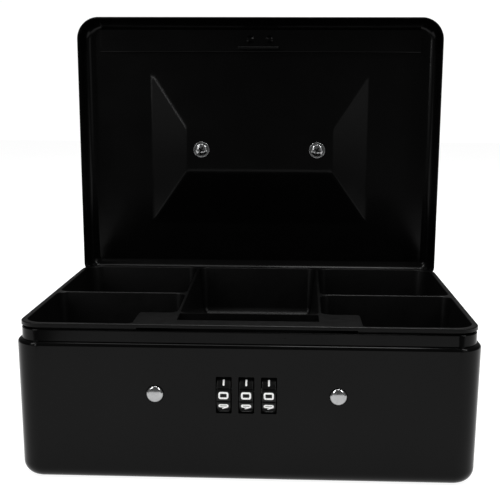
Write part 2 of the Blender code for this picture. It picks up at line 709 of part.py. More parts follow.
def rivet(name, x, z, parent=None, offset=(0, 0, 0)):
    """Domed rivet through a hinge leaf and the sheet behind it."""
    sheet_inner = -SHEET - GAP - (DEPTH / 2 - wall_y(z) if parent is None else 0.0)
    outer = GAP + LEAF_THICKNESS + GAP
    profile = [
        (0.0, sheet_inner - 0.0010),
        (0.0018, sheet_inner - 0.0010),
        (0.0022, sheet_inner),
        (0.0014, sheet_inner),
        (0.0014, outer),
        (0.0026, outer),
        (0.0025, outer + 0.0004),
        (0.0018, outer + 0.0009),
        (0.0, outer + 0.0011),
    ]
    place = Vector((x, DEPTH / 2, z)) + Vector(offset)
    return turned(name, profile, "Y", place, "zinc_steel", parent, 20)


def hinge(side, x, lid_axis, lid_offset):
    """One butt hinge: body leaf, lid leaf, pin and four rivets."""
    half = HINGE_WIDTH / 2
    split = HINGE_WIDTH / 4
    body_knuckles = [(x - half, x - split), (x + split, x + half)]
    plate_top = HINGE_Z - KNUCKLE_RADIUS - 0.0004
    plate = (BODY_LEAF_BOTTOM_Z, plate_top)
    hinge_leaf(f"hinge_{side}_body_leaf", x, plate, body_knuckles, BODY_RIVET_Z)
    lid_knuckles = [(x - split + 0.0004, x + split - 0.0004)]
    plate = (HINGE_Z + KNUCKLE_RADIUS + 0.0004, LID_LEAF_TOP_Z)
    name = f"hinge_{side}_lid_leaf"
    hinge_leaf(name, x, plate, lid_knuckles, LID_RIVET_Z, lid_axis, lid_offset)
    profile = rounded_rod(HINGE_PIN_RADIUS, -half - 0.0004, half + 0.0004, 0.0002)
    turned(f"hinge_{side}_pin", profile, "X", (x, HINGE_Y, HINGE_Z), "zinc_steel", None, 16)
    for mark, rivet_x in (("a", x - RIVET_OFFSET_X), ("b", x + RIVET_OFFSET_X)):
        rivet(f"hinge_{side}_body_rivet_{mark}", rivet_x, BODY_RIVET_Z)
        rivet(f"hinge_{side}_lid_rivet_{mark}", rivet_x, LID_RIVET_Z, lid_axis, lid_offset)


# Combination lock


def dial_places():
    """X places of the three dials."""
    return (-DIAL_PITCH, 0.0, DIAL_PITCH)


def lock_case():
    """Moulded case, open to the front, with cheeks for the axle and guides for the buttons."""
    low = (-CASE_HALF_WIDTH, CASE_FRONT_Y, CASE_BOTTOM_Z)
    high = (CASE_HALF_WIDTH, CASE_BACK_Y, CASE_TOP_Z)
    case = block("lock_case", low, high, "lock_plastic")
    flange_back_y = CASE_FRONT_Y + 0.0012
    flange_low = (-0.0650, CASE_FRONT_Y, 0.0400)
    flange_high = (0.0650, flange_back_y, 0.0500)
    combine(case, block("join_side_flange", flange_low, flange_high), "UNION")
    flange_low = (-0.0360, CASE_FRONT_Y, 0.0265)
    flange_high = (0.0360, flange_back_y, CASE_BOTTOM_Z + 0.0005)
    combine(case, block("join_bottom_flange", flange_low, flange_high), "UNION")

    outside_y = CASE_FRONT_Y - 0.001
    inner_x = CASE_HALF_WIDTH - CASE_WALL
    inner_y = CASE_BACK_Y - CASE_WALL
    floor_z = CASE_BOTTOM_Z + CASE_WALL
    roof_z = CASE_TOP_Z - CASE_WALL
    upper = block("cut_case_upper", (-inner_x, outside_y, CHEEK_TOP_Z), (inner_x, inner_y, roof_z))
    middle_top = CHEEK_TOP_Z + 0.0001
    low = (-CHEEK_INNER_X, outside_y, floor_z)
    middle = block("cut_case_middle", low, (CHEEK_INNER_X, inner_y, middle_top))
    cutters = [upper, middle]
    for side, sign in (("left", -1), ("right", 1)):
        xs = sorted((sign * (CHEEK_INNER_X + CASE_WALL), sign * inner_x))
        ahead = block(f"cut_case_front_{side}", (xs[0], outside_y, floor_z),
                      (xs[1], GUIDE_FRONT_Y, middle_top))
        behind = block(f"cut_case_rear_{side}", (xs[0], GUIDE_BACK_Y, floor_z),
                       (xs[1], inner_y, middle_top))
        guide = rounded_rod(BUTTON_STEM_RADIUS + 0.0004, -0.002, 0.002, 0.0001)
        place = (sign * BUTTON_X, GUIDE_FRONT_Y, DIAL_Z)
        cutters += [ahead, behind, turned(f"cut_guide_{side}", guide, "Y", place, steps=20)]
    axle_hole = rounded_rod(AXLE_RADIUS + GAP, -0.025, 0.025, 0.0001)
    cutters.append(turned("cut_axle_holes", axle_hole, "X", (0, DIAL_Y, DIAL_Z), steps=20))
    slot = (STRIKE_WIDTH / 2 + 0.0015, STRIKE_FRONT_Y - 0.003, STRIKE_FRONT_Y + 0.005)
    cutters.append(block("cut_strike_slot", (-slot[0], slot[1], roof_z - 0.001),
                         (slot[0], slot[2], CASE_TOP_Z + 0.001)))
    for number, (x, z) in enumerate(STUDS, 1):
        hole = rounded_rod(STUD_RADIUS + GAP, -0.002, 0.003, 0.0001)
        cutters.append(turned(f"cut_stud_{number}", hole, "Y", (x, CASE_FRONT_Y, z), steps=16))
    for cutter in cutters:
        combine(case, cutter)
    return case


def case_fixings():
    """Studs welded to the front wall, each with a hexagon nut behind the case flange."""
    for number, (x, z) in enumerate(STUDS, 1):
        start = -wall_y(z) + SHEET + GAP
        stop = CASE_FRONT_Y + 0.0058
        profile = rounded_rod(STUD_RADIUS, 0.0, stop - start, GAP)
        turned(f"lock_stud_{number}", profile, "Y", (x, start, z), "zinc_steel", None, 16)
        nut_y = CASE_FRONT_Y + 0.0012 + GAP
        bm = bmesh.new()
        place = Matrix.Translation((x, nut_y + 0.0012, z)) @ Matrix.Rotation(pi / 2, 4, "X")
        across = 0.0055 / 3**0.5
        bmesh.ops.create_cone(bm, cap_ends=True, segments=6, radius1=across, radius2=across,
                              depth=0.0024, matrix=place)
        nut = add_object(f"lock_nut_{number}", mesh_from("nut", bm), "zinc_steel")
        bore = rounded_rod(STUD_RADIUS + GAP, -0.003, 0.003, 0.0001)
        place = (x, nut_y + 0.0012, z)
        combine(nut, turned(f"cut_nut_{number}", bore, "Y", place, steps=16))


def dial(number, x):
    """One dial: a grooved number wheel and its cam with two gates, turning on the axle."""
    axis = axis_empty(f"dial_{number}_axis", (x, DIAL_Y, DIAL_Z))
    bm = bmesh.new()
    half = DIAL_WIDTH / 2
    edge = 0.0005
    steps = 8 * DIAL_FACES
    rings = []
    for place, size in ((-half, -edge), (-half + edge, 0.0), (half - edge, 0.0), (half, -edge)):
        ring = []
        for step in range(steps):
            angle = 2 * pi * step / steps
            groove = DIAL_GROOVE if step % 8 == 4 else 0.0
            radius = DIAL_RADIUS + size - groove
            ring.append(bm.verts.new((place, -radius * cos(angle), radius * sin(angle))))
        rings.append(ring)
    for place in (half, -half):
        angles = [2 * pi * step / steps for step in range(steps)]
        bore = DIAL_BORE_RADIUS
        rings.append([bm.verts.new((place, -bore * cos(a), bore * sin(a))) for a in angles])
    for low, high in zip(rings, rings[1:] + rings[:1]):
        for index in range(steps):
            after = (index + 1) % steps
            bm.faces.new((low[index], low[after], high[after], high[index]))
    name = f"dial_wheel_{number}"
    add_object(name, mesh_from(name, bm, radians(30)), "black_plastic", axis)

    ring = [
        (DIAL_BORE_RADIUS, -CAM_WIDTH / 2),
        (CAM_RADIUS, -CAM_WIDTH / 2),
        (CAM_RADIUS, CAM_WIDTH / 2),
        (DIAL_BORE_RADIUS, CAM_WIDTH / 2),
    ]
    cam = turned(f"dial_cam_{number}", ring, "X", (CAM_OFFSET_X, 0, 0), "brass", axis, 40)
    gate_floor = FINGER_TIP_Z - DIAL_Z - 0.0006
    xs = (CAM_OFFSET_X - 0.002, CAM_OFFSET_X + 0.002)
    gates = {"front": ((-0.0080, -0.0017), (gate_floor, 0.0080)),
             "rear": ((0.0017, 0.0080), (-0.0080, -gate_floor))}
    for side, (ys, zs) in gates.items():
        low, high = zip(xs, ys, zs)
        combine(cam, block(f"cut_{side}_gate_{number}", low, high, None, axis))


def detent_spring():
    """Comb of three leaf springs behind the dials."""
    front_y = DIAL_Y + DIAL_RADIUS + 0.0004
    floor_z = CASE_BOTTOM_Z + CASE_WALL + GAP
    low = (-0.0160, front_y, floor_z)
    comb = block("detent_spring", low, (0.0160, front_y + 0.0006, 0.0420), "spring_steel")
    foot = block("join_comb_foot", low, (0.0160, front_y + 0.0055, floor_z + 0.0006))
    combine(comb, foot, "UNION")
    for number, x in enumerate(dial_places(), 1):
        low = (x - 0.0025, front_y, 0.0415)
        high = (x + 0.0025, front_y + 0.0006, 0.0560)
        combine(comb, block(f"join_comb_tooth_{number}", low, high), "UNION")


def latch_bar():
    """Bent plate pushed back by both buttons, with three fingers and the hook."""
    top_z = LATCH_Z + LATCH_SHEET
    low = (-LATCH_HALF_WIDTH, LATCH_FRONT_Y, LATCH_Z)
    high = (LATCH_HALF_WIDTH, LATCH_BACK_Y, top_z)
    bar = block("latch_bar", low, high, "zinc_steel")
    hook = HOOK_HALF_WIDTH
    upright_y = HOOK_BACK_Y - LATCH_SHEET
    hook_top = HOOK_UNDERSIDE_Z + 0.0014
    added = {
        "tongue": ((-hook, LATCH_BACK_Y - 0.001, LATCH_Z), (hook, HOOK_BACK_Y, top_z)),
        "upright": ((-hook, upright_y, LATCH_Z + 0.0002), (hook, HOOK_BACK_Y, hook_top)),
        "nose": ((-hook, HOOK_TIP_Y, HOOK_UNDERSIDE_Z), (hook, upright_y + 0.0005, hook_top)),
    }
    for side, sign in (("left", -1), ("right", 1)):
        middle = sign * BUTTON_X
        half = LATCH_TAB_WIDTH / 2
        added[f"tab_{side}"] = (
            (middle - half, LATCH_TAB_FRONT_Y, LATCH_TAB_BOTTOM_Z),
            (middle + half, LATCH_BACK_Y, LATCH_Z + 0.0005),
        )
    for number, x in enumerate(dial_places(), 1):
        middle = x + CAM_OFFSET_X
        added[f"finger_{number}"] = (
            (middle - FINGER_WIDTH / 2, LATCH_FRONT_Y, FINGER_TIP_Z),
            (middle + FINGER_WIDTH / 2, LATCH_FRONT_Y + LATCH_SHEET, LATCH_Z + 0.0005),
        )
    for name, (low, high) in added.items():
        combine(bar, block(f"join_latch_{name}", low, high), "UNION")


def button(side, x):
    """Push button with a retaining collar and a stem that reaches the latch tab."""
    profile = [
        (0.0, 0.0),
        (BUTTON_RADIUS - 0.0009, 0.0),
        (BUTTON_RADIUS, 0.0007),
        (BUTTON_RADIUS, BUTTON_COLLAR_FRONT_Y - BUTTON_FRONT_Y),
        (BUTTON_COLLAR_RADIUS, BUTTON_COLLAR_FRONT_Y - BUTTON_FRONT_Y),
        (BUTTON_COLLAR_RADIUS, BUTTON_COLLAR_BACK_Y - BUTTON_FRONT_Y),
        (BUTTON_STEM_RADIUS, BUTTON_COLLAR_BACK_Y - BUTTON_FRONT_Y),
        (BUTTON_STEM_RADIUS, BUTTON_STEM_END_Y - BUTTON_FRONT_Y),
        (0.0, BUTTON_STEM_END_Y - BUTTON_FRONT_Y),
    ]
    place = (x, BUTTON_FRONT_Y, DIAL_Z)
    turned(f"button_{side}", profile, "Y", place, "chrome", None, 32)


def latch_spring(side, x):
    """Coil spring that pushes the latch bar and button forward."""
    start = LATCH_BACK_Y + GAP + 0.0004
    stop = CASE_BACK_Y - CASE_WALL - GAP - 0.0004
    turns = 5
    per_turn = 12
    points = []
    for step in range(turns * per_turn + 1):
        angle = 2 * pi * step / per_turn
        along = start + (stop - start) * step / (turns * per_turn)
        points.append((x + 0.0026 * cos(angle), along, DIAL_Z + 0.0026 * sin(angle)))
    wire(f"latch_spring_{side}", points, 0.0003, "spring_steel", resolution=1)


def build():
    """Makes every piece and opens the lid."""
    box_body()
    tray_axis = axis_empty("tray_lift_axis", (0, 0, TRAY_TOP_Z))
    coin_tray(tray_axis, (0, 0, -TRAY_TOP_Z))

    lid_axis = axis_empty("lid_hinge_axis", (0, HINGE_Y, HINGE_Z))
    lid_offset = (0, -HINGE_Y, -HINGE_Z)
    lid_shell(lid_axis, lid_offset)
    front_rail(lid_axis, lid_offset)
    lid_strike(lid_axis, lid_offset)
    for side, sign in (("left", -1), ("right", 1)):
        handle_mount(side, sign, lid_axis, lid_offset)
        hinge(side, sign * HINGE_X, lid_axis, lid_offset)
    handle_place = (0, RECESS_Y - HINGE_Y, HANDLE_Z - HINGE_Z)
    handle_axis = axis_empty("handle_hinge_axis", handle_place, lid_axis)
    handle_axis.rotation_euler.x = HANDLE_REST_TILT
    handle_bail(handle_axis)
    lid_axis.rotation_euler.x = -OPEN_ANGLE

    lock_case()
    case_fixings()
    axle = rounded_rod(AXLE_RADIUS, -AXLE_LENGTH / 2, AXLE_LENGTH / 2, 0.0003)
    turned("dial_axle", axle, "X", (0, DIAL_Y, DIAL_Z), "zinc_steel", None, 20)
    for number, x in enumerate(dial_places(), 1):
        dial(number, x)
    detent_spring()
    latch_bar()
    for side, sign in (("left", -1), ("right", 1)):
        button(side, sign * BUTTON_X)
        latch_spring(side, sign * BUTTON_X)


build()
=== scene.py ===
"""Looks of the steel cash box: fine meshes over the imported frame, finishes, stage and camera.

All lengths are metres. The lid's pieces are shaped as they lie when the lid is closed, and are
then turned about the hinge to the open position that the frame has at rest.
"""
from math import atan2, cos, pi, radians, sin, tan

import bmesh
import bpy
from mathutils import Matrix, Vector


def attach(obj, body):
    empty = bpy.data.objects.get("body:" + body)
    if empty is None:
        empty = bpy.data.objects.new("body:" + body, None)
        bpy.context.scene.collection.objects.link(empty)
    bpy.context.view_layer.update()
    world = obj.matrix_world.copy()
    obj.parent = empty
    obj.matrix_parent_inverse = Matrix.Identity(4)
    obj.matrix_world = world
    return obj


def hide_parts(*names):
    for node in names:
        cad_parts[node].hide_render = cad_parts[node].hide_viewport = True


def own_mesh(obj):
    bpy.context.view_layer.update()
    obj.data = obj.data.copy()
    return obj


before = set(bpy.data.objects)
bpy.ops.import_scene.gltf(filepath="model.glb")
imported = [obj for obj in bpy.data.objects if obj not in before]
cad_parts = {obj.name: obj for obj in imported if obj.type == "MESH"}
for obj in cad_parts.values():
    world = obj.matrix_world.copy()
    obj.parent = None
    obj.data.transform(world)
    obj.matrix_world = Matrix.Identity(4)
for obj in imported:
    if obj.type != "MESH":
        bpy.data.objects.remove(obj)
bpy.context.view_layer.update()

# Box and lid
WIDTH = 0.2500
DEPTH = 0.1800
SHEET = 0.0010
FRONT_CORNER = 0.0140
BACK_CORNER = 0.0080
FOOT_RADIUS = 0.0080
SIDE_DRAFT = 0.0013
SHOULDER_Z = 0.0772
SHOULDER_RADIUS = 0.0022
NECK_INSET = 0.0024
NECK_TOP_Z = 0.0835
LID_FRONT_CORNER = 0.0150
LID_EDGE_RADIUS = 0.0080
LID_RIM_Z = 0.0775
LID_TOP_Z = 0.0987
HINGE_Y = 0.0922
HINGE_Z = 0.0778
OPEN_ANGLE = radians(87.7)
HINGE_X = 0.0750
RIVET_OFFSET_X = 0.0110
RIVET_HOLE = 0.0018
BODY_RIVET_Z = 0.0685
LID_RIVET_Z = 0.0900

# Handle recess and handle
RECESS_Y = 0.0012
RECESS_WIDTH = 0.1540
RECESS_DEPTH_Y = 0.1060
RECESS_FLOOR_WIDTH = 0.1030
RECESS_FLOOR_DEPTH_Y = 0.0305
RECESS_DROP = 0.0075
RECESS_CORNER = 0.0025
RECESS_BEND = 0.06
POST_X = 0.0410
HANDLE_Z = 0.0956
HANDLE_REACH = 0.0280
HANDLE_ARM_X = 0.0517
HANDLE_END_X = 0.0448
HANDLE_WIRE_RADIUS = 0.0023
HANDLE_BEND = 0.0090
HANDLE_END_BEND = 0.0026
HANDLE_REST_TILT = radians(2.0)
POST_BEVEL = 0.0011
POST_BORE_RADIUS = HANDLE_WIRE_RADIUS + 0.00035
POST_BORE_FLARE = 0.0004
POST_BORE_DEPTH_X = 0.0037
SCREW_RADIUS = 0.0015
SCREW_HOLE = SCREW_RADIUS + 0.0006
SCREW_HEAD_RADIUS = 0.00425
SCREW_HEAD_HEIGHT = 0.0015
SCREW_END = 0.0046
SCREW_CHAMFER = 0.0004
SCREW_TURN = 0.5  # radians
WASHER_BORE_RADIUS = 0.0020
WASHER_RADIUS = 0.00565
WASHER_THICKNESS = 0.0005

# Rail and strike inside the front of the lid
RAIL_BEND = 0.0009
STRIKE_WIDTH = 0.0270
STRIKE_SLOT_WIDTH = 0.0170
STRIKE_SLOT_BOTTOM_Z = 0.0682
STRIKE_SLOT_TOP_Z = 0.0750
STRIKE_FRONT_Y = -0.0701
STRIKE_THICKNESS = 0.0015
STRIKE_TIP_Z = 0.0655
STRIKE_FOOT_FRONT_Y = -0.0800
STRIKE_BEND = 0.0012
STRIKE_PLAY = 0.0005
STRIKE_RIVET_Y = STRIKE_FOOT_FRONT_Y + 0.0045
STRIKE_RIVET_HOLE = 0.0016
RAIL_LENGTH = 0.2240
RAIL_FRONT_Y = -0.0825
RAIL_BACK_Y = -0.0665
RAIL_FACE_Z = 0.0940
GAP = 0.0003

# Coin tray
TRAY_RIM_WIDTH = 0.2460
TRAY_RIM_DEPTH = 0.1750
TRAY_TOP_Z = 0.0870
TRAY_RIM_HEIGHT = 0.0025
TRAY_WIDTH = 0.2424
TRAY_DEPTH = 0.1724
TRAY_CORNER = 0.0120
TRAY_BOTTOM_Z = 0.0525
TRAY_FLOOR_Z = 0.0540
TRAY_DRAFT = 0.0026
TRAY_WALL = 0.0015
TRAY_FOOT_RADIUS = 0.0030
TRAY_RIM_EDGE = 0.0006
POCKET_X = 0.1197
POCKET_Y = 0.0847
POCKET_CORNER = 0.0060
LEDGE_CORNER = 0.0025
POCKET_FILLET = 0.0035
CENTRE_FILLET = 0.0060
POCKET_LIP = 0.0007
DIVIDER = 0.0018
SIDE_DIVIDER_Y = -0.0040
CENTRE_DIVIDER_BACK_X = 0.0417
CENTRE_DIVIDER_FRONT_X = 0.0394
LEDGE_X = 0.0615
LEDGE_BACK_Y = -0.0579
LEDGE_THICKNESS = 0.0018
NOTCH_X = 0.0586
NOTCH_BACK_Y = -0.0600
WELL_FRONT_Y = -0.0760
WELL_BACK_Y = -0.0599

# Lock
DIAL_PITCH = 0.0120
DIAL_Y = -0.0811
DIAL_Z = 0.0496
DIAL_RADIUS = 0.0112
DIAL_WIDTH = 0.0076
DIAL_BORE_RADIUS = 0.0018
DIAL_FACES = 10
DIAL_FACE_STEPS = 24
DIAL_GROOVE = 0.0006
DIAL_EDGE = 0.0006
WINDOW_WIDTH = 0.0083
WINDOW_HEIGHT = 0.0200
WINDOW_CORNER = 0.0005
CUT_EDGE = 0.00025
BUTTON_X = 0.0488
BUTTON_RADIUS = 0.00485
BUTTON_FRONT_Y = -0.0913
BUTTON_COLLAR_FRONT_Y = -0.0880
BUTTON_COLLAR_BACK_Y = -0.0869
BUTTON_COLLAR_RADIUS = 0.0062
BUTTON_STEM_RADIUS = 0.0025
BUTTON_STEM_END_Y = -0.0803
BUTTON_BEVEL = 0.0009
BUTTON_SLACK = 0.00030
BUTTON_DOME = 0.0190
SPRING_RADIUS = 0.0026
SPRING_WIRE = 0.0003
SPRING_TURNS = 7
SPRING_STEPS = 24
SPRING_FRONT_Y = -0.0779
SPRING_BACK_Y = -0.0628
SPRING_END_TURN = 0.6

# Numerals, each in a cell of this size with strokes of this width
NUMERAL_WIDTH = 0.0054
NUMERAL_HEIGHT = 0.0039
NUMERAL_STROKE = 0.0010
NUMERAL_CORNER = 0.0007
NUMERAL_RAISE = 0.00006
DIAL_REST_TURN = radians(3.2)

LID_OPEN = (
    Matrix.Translation((0, HINGE_Y, HINGE_Z))
    @ Matrix.Rotation(-OPEN_ANGLE, 4, "X")
    @ Matrix.Translation((0, -HINGE_Y, -HINGE_Z))
)

# Camera
CAMERA_PLACE = (0.021431, -0.571451, 0.205511)
CAMERA_TURN = radians(2.351)
CAMERA_PITCH = radians(80.858)
CAMERA_ROLL = radians(0.250)
CAMERA_LENS = 67.95

# Floor and surroundings; beside the floor's tongue the front wall mirrors the dark
FLOOR_Z = -0.0001
FLOOR_HALF_WIDTH = 3.0
FLOOR_BACK_Y = 4.0
FLOOR_FRONT_Y = -0.33
TONGUE_HALF_WIDTH = 0.185
TONGUE_FRONT_Y = -0.46
BACKDROP_STRENGTH = 1.05
SURROUNDINGS_STRENGTH = 0.14
WHITE = (1.0, 1.0, 1.0, 1.0)


def make_camera():
    """The photograph's view: in front of the box, a little right of its middle, looking down."""
    data = bpy.data.cameras.new("camera")
    data.lens = CAMERA_LENS
    data.sensor_width = 36.0
    data.clip_start = 0.01
    camera = bpy.data.objects.new("camera", data)
    bpy.context.scene.collection.objects.link(camera)
    turn = Matrix.Rotation(CAMERA_TURN, 4, "Z") @ Matrix.Rotation(CAMERA_PITCH, 4, "X")
    roll = Matrix.Rotation(CAMERA_ROLL, 4, "Z")
    camera.matrix_world = Matrix.Translation(CAMERA_PLACE) @ turn @ roll
    bpy.context.scene.camera = camera


make_camera()


# Materials


def set_inputs(node, values):
    """Sets a node's inputs by name."""
    for name, value in values.items():
        node.inputs[name].default_value = value


class Finish:
    """A Principled material being put together, with its texture space in metres."""

    def __init__(self, name, metallic, specular=0.5):
        self.material = bpy.data.materials.new(name)
        self.material.use_nodes = True
        self.nodes = self.material.node_tree.nodes
        self.links = self.material.node_tree.links
        self.shader = self.nodes["Principled BSDF"]
        set_inputs(self.shader, {"Metallic": metallic, "Specular IOR Level": specular})
        self.place = self.nodes.new("ShaderNodeTexCoord").outputs["Object"]
        self.normal = None

    def noise(self, size, detail=2.0, stretch=(1, 1, 1), roughness=0.5):
        """A noise whose blobs are about size across, longer along an axis by its stretch."""
        mapping = self.nodes.new("ShaderNodeMapping")
        set_inputs(mapping, {"Scale": [1 / share for share in stretch]})
        self.links.new(self.place, mapping.inputs["Vector"])
        noise = self.nodes.new("ShaderNodeTexNoise")
        set_inputs(noise, {"Scale": 1 / size, "Detail": detail, "Roughness": roughness})
        self.links.new(mapping.outputs["Vector"], noise.inputs["Vector"])
        return noise.outputs["Fac"]

    def cells(self, size):
        """Distance to the nearest point of a cell pattern of that size."""
        cells = self.nodes.new("ShaderNodeTexVoronoi")
        set_inputs(cells, {"Scale": 1 / size})
        self.links.new(self.place, cells.inputs["Vector"])
        return cells.outputs["Distance"]

    def spread(self, value, low, high, start=0.3, stop=0.7):
        """The value's range from start to stop, spread from low to high."""
        mapped = self.nodes.new("ShaderNodeMapRange")
        set_inputs(mapped, {"From Min": start, "From Max": stop, "To Min": low, "To Max": high})
        self.links.new(value, mapped.inputs["Value"])
        return mapped.outputs["Result"]

    def colour(self, value, dark, light, start=0.3, stop=0.7):
        """Base colour that runs from dark to light with the value."""
        ramp = self.nodes.new("ShaderNodeValToRGB")
        ramp.color_ramp.elements[0].position = start
        ramp.color_ramp.elements[0].color = (*dark, 1.0)
        ramp.color_ramp.elements[1].position = stop
        ramp.color_ramp.elements[1].color = (*light, 1.0)
        self.links.new(value, ramp.inputs["Fac"])
        self.links.new(ramp.outputs["Color"], self.shader.inputs["Base Color"])

    def rough(self, value, low, high, start=0.3, stop=0.7):
        """Roughness that runs from low to high with the value."""
        spread = self.spread(value, low, high, start, stop)
        self.links.new(spread, self.shader.inputs["Roughness"])

    def bump(self, value, height, strength=1.0):
        """Relief of that height in metres, laid over any relief before it."""
        bump = self.nodes.new("ShaderNodeBump")
        set_inputs(bump, {"Distance": height, "Strength": strength})
        self.links.new(value, bump.inputs["Height"])
        if self.normal:
            self.links.new(self.normal, bump.inputs["Normal"])
        self.normal = bump.outputs["Normal"]
        self.links.new(self.normal, self.shader.inputs["Normal"])


def paint(name, dark, light, low_gloss, high_gloss, specular, peel):
    """Stove-enamelled steel: faint orange peel, cloudy gloss and a few dust nibs."""
    made = Finish(name, 0.0, specular)
    cloud = made.noise(0.045, 3.0)
    made.colour(cloud, dark, light)
    made.rough(made.noise(0.020, 4.0), low_gloss, high_gloss)
    made.bump(made.noise(0.0016, 2.0), peel)
    nibs = made.spread(made.cells(0.0090), 1.0, 0.0, 0.0, 0.05)
    made.bump(nibs, 0.00003, 0.6)
    return made.material


def moulded(name, dark, light, low_gloss, high_gloss, specular, grain, height):
    """Moulded plastic: fine spark-eroded grain with slow flow marks."""
    made = Finish(name, 0.0, specular)
    made.colour(made.noise(0.030, 3.0), dark, light)
    made.rough(made.noise(0.004, 3.0), low_gloss, high_gloss)
    made.bump(made.noise(grain, 3.0, roughness=0.6), height)
    made.bump(made.noise(0.060, 1.0, (3.0, 1.0, 1.0)), 0.00015, 0.3)
    return made.material


def plated(name, dark, light, low_gloss, high_gloss, stretch=(1, 1, 1)):
    """Plated metal: clouded plating, fine scratches and a soft uneven skin."""
    made = Finish(name, 1.0)
    made.colour(made.noise(0.0030, 4.0), dark, light)
    made.rough(made.noise(0.0012, 4.0, stretch), low_gloss, high_gloss)
    made.bump(made.noise(0.00030, 2.0, stretch), 0.0000022)
    return made.material


def numeral_paint():
    """White filling of the numerals, slightly worn toward grey."""
    made = Finish("numeral_white", 0.0, 0.4)
    made.colour(made.noise(0.0009, 3.0), (0.62, 0.62, 0.61), (0.86, 0.86, 0.85), 0.25, 0.5)
    made.rough(made.noise(0.0007, 2.0), 0.42, 0.60)
    made.bump(made.noise(0.00025, 2.0), 0.00001)
    return made.material


FINISHES = {
    "box_paint": paint("box_paint", (0.0010,) * 3, (0.0016,) * 3, 0.09, 0.13, 0.098, 0.000004),
    "lid_paint": paint("lid_paint", (0.0010,) * 3, (0.0016,) * 3, 0.17, 0.22, 0.12, 0.000004),
    "tray_plastic": moulded("tray_plastic", (0.0016,) * 3, (0.0026,) * 3, 0.33, 0.41, 0.13,
                            0.00045, 0.000006),
    "dial_plastic": moulded("dial_plastic", (0.0020,) * 3, (0.0034,) * 3, 0.26, 0.36, 0.16,
                            0.00030, 0.000006),
    # Grey lock-case plastic, also laid on the screw slots and button collars as painted shade.
    "case_plastic_and_painted_shade": moulded("case_plastic_and_painted_shade", (0.016,) * 3, (0.026,) * 3, 0.48, 0.62, 0.4,
                            0.00060, 0.000020),
    "chrome": plated("chrome", (0.30, 0.303, 0.306), (0.36, 0.363, 0.366), 0.10, 0.18),
    "handle_chrome": plated("handle_chrome", (0.72, 0.73, 0.75), (0.80, 0.81, 0.82), 0.05, 0.14),
    "zinc": plated("zinc", (0.38, 0.38, 0.36), (0.55, 0.55, 0.54), 0.28, 0.48),
    "spring_steel": plated("spring_steel", (0.26, 0.26, 0.27), (0.42, 0.42, 0.43), 0.22, 0.38,
                           (1, 6, 1)),
    "brass": plated("brass", (0.52, 0.37, 0.15), (0.70, 0.53, 0.27), 0.22, 0.38, (1, 8, 8)),
    "numeral_white": numeral_paint(),
}


# Mesh helpers

SMOOTH_ANGLE = radians(32)


def add_piece(name, bm, material, smooth=SMOOTH_ANGLE):
    """Makes an object from a bmesh, smooth up to the given edge angle."""
    mesh = bpy.data.meshes.new(name)
    bmesh.ops.recalc_face_normals(bm, faces=bm.faces)
    bm.to_mesh(mesh)
    bm.free()
    mesh.polygons.foreach_set("use_smooth", [True] * len(mesh.polygons))
    mesh.set_sharp_from_angle(angle=smooth)
    if material:
        mesh.materials.append(FINISHES[material])
    piece = bpy.data.objects.new(name, mesh)
    bpy.context.scene.collection.objects.link(piece)
    return piece


def bake_modifiers(piece):
    """Puts the piece's modifiers into its mesh."""
    bpy.context.view_layer.update()
    evaluated = piece.evaluated_get(bpy.context.evaluated_depsgraph_get())
    mesh = bpy.data.meshes.new_from_object(evaluated)
    piece.modifiers.clear()
    old = piece.data
    piece.data = mesh
    mesh.name = piece.name
    if old.users == 0:
        bpy.data.meshes.remove(old)


def cut(piece, tools):
    """Cuts the tools out of the piece and removes them.

    A tool with a finish of its own leaves it on the faces that it cuts.
    """
    for tool in tools:
        boolean = piece.modifiers.new(tool.name, "BOOLEAN")
        boolean.operation = "DIFFERENCE"
        boolean.solver = "EXACT"
        boolean.object = tool
        if tool.data.materials:
            boolean.material_mode = "TRANSFER"
    bake_modifiers(piece)
    for tool in tools:
        bpy.data.objects.remove(tool, do_unlink=True)
    piece.data.set_sharp_from_angle(angle=SMOOTH_ANGLE)


def even_shading(piece):
    """Lets large flat faces keep their own direction at a rounded edge."""
    weighted = piece.modifiers.new("even_shading", "WEIGHTED_NORMAL")
    weighted.keep_sharp = True
    weighted.weight = 100
    bake_modifiers(piece)


def round_angles(steps):
    """The angles of even steps round a circle."""
    return [2 * pi * step / steps for step in range(steps)]


def arc(inset, z, radius, start, stop, steps):
    """Profile points (inset, z) along an arc; 0 degrees points outward and 90 up."""
    angles = [radians(start + (stop - start) * step / steps) for step in range(steps + 1)]
    return [(inset - radius * cos(angle), z + radius * sin(angle)) for angle in angles]


def rounded_outline(corners, radii, inset, segments):
    """Points of a counter-clockwise polygon, moved inward by inset, with rounded corners."""
    if not isinstance(radii, list):
        radii = [radii] * len(corners)
    points = []
    for index, (corner, radius) in enumerate(zip(corners, radii)):
        here = Vector(corner)
        ahead = (Vector(corners[(index + 1) % len(corners)]) - here).normalized()
        behind = (Vector(corners[index - 1]) - here).normalized()
        turn = ahead.y * behind.x - ahead.x * behind.y
        convex = turn < 0
        normals = Vector((behind.y, -behind.x)) + Vector((-ahead.y, ahead.x))
        here = here + normals * inset * 2 / normals.length_squared
        bend = max(radius - inset, 0.0004) if convex else radius + inset
        half = behind.angle(ahead) / 2
        centre = here + (ahead + behind).normalized() * bend / sin(half)
        start = here + behind * bend / tan(half) - centre
        sweep = (pi - 2 * half) * (1 if convex else -1)
        first = atan2(start.y, start.x)
        for step in range(segments + 1):
            angle = first + sweep * step / segments
            points.append((centre.x + bend * cos(angle), centre.y + bend * sin(angle)))
    return points


def rectangle(width, depth, middle_y=0.0):
    """Corners of a rectangle, counter-clockwise."""
    x = width / 2
    y = depth / 2
    return [(-x, middle_y - y), (x, middle_y - y), (x, middle_y + y), (-x, middle_y + y)]


def skin(bm, loops):
    """Four-sided faces between each loop of vertices and the next."""
    for low, high in zip(loops, loops[1:]):
        for index in range(len(low)):
            after = (index + 1) % len(low)
            bm.faces.new((low[index], low[after], high[after], high[index]))


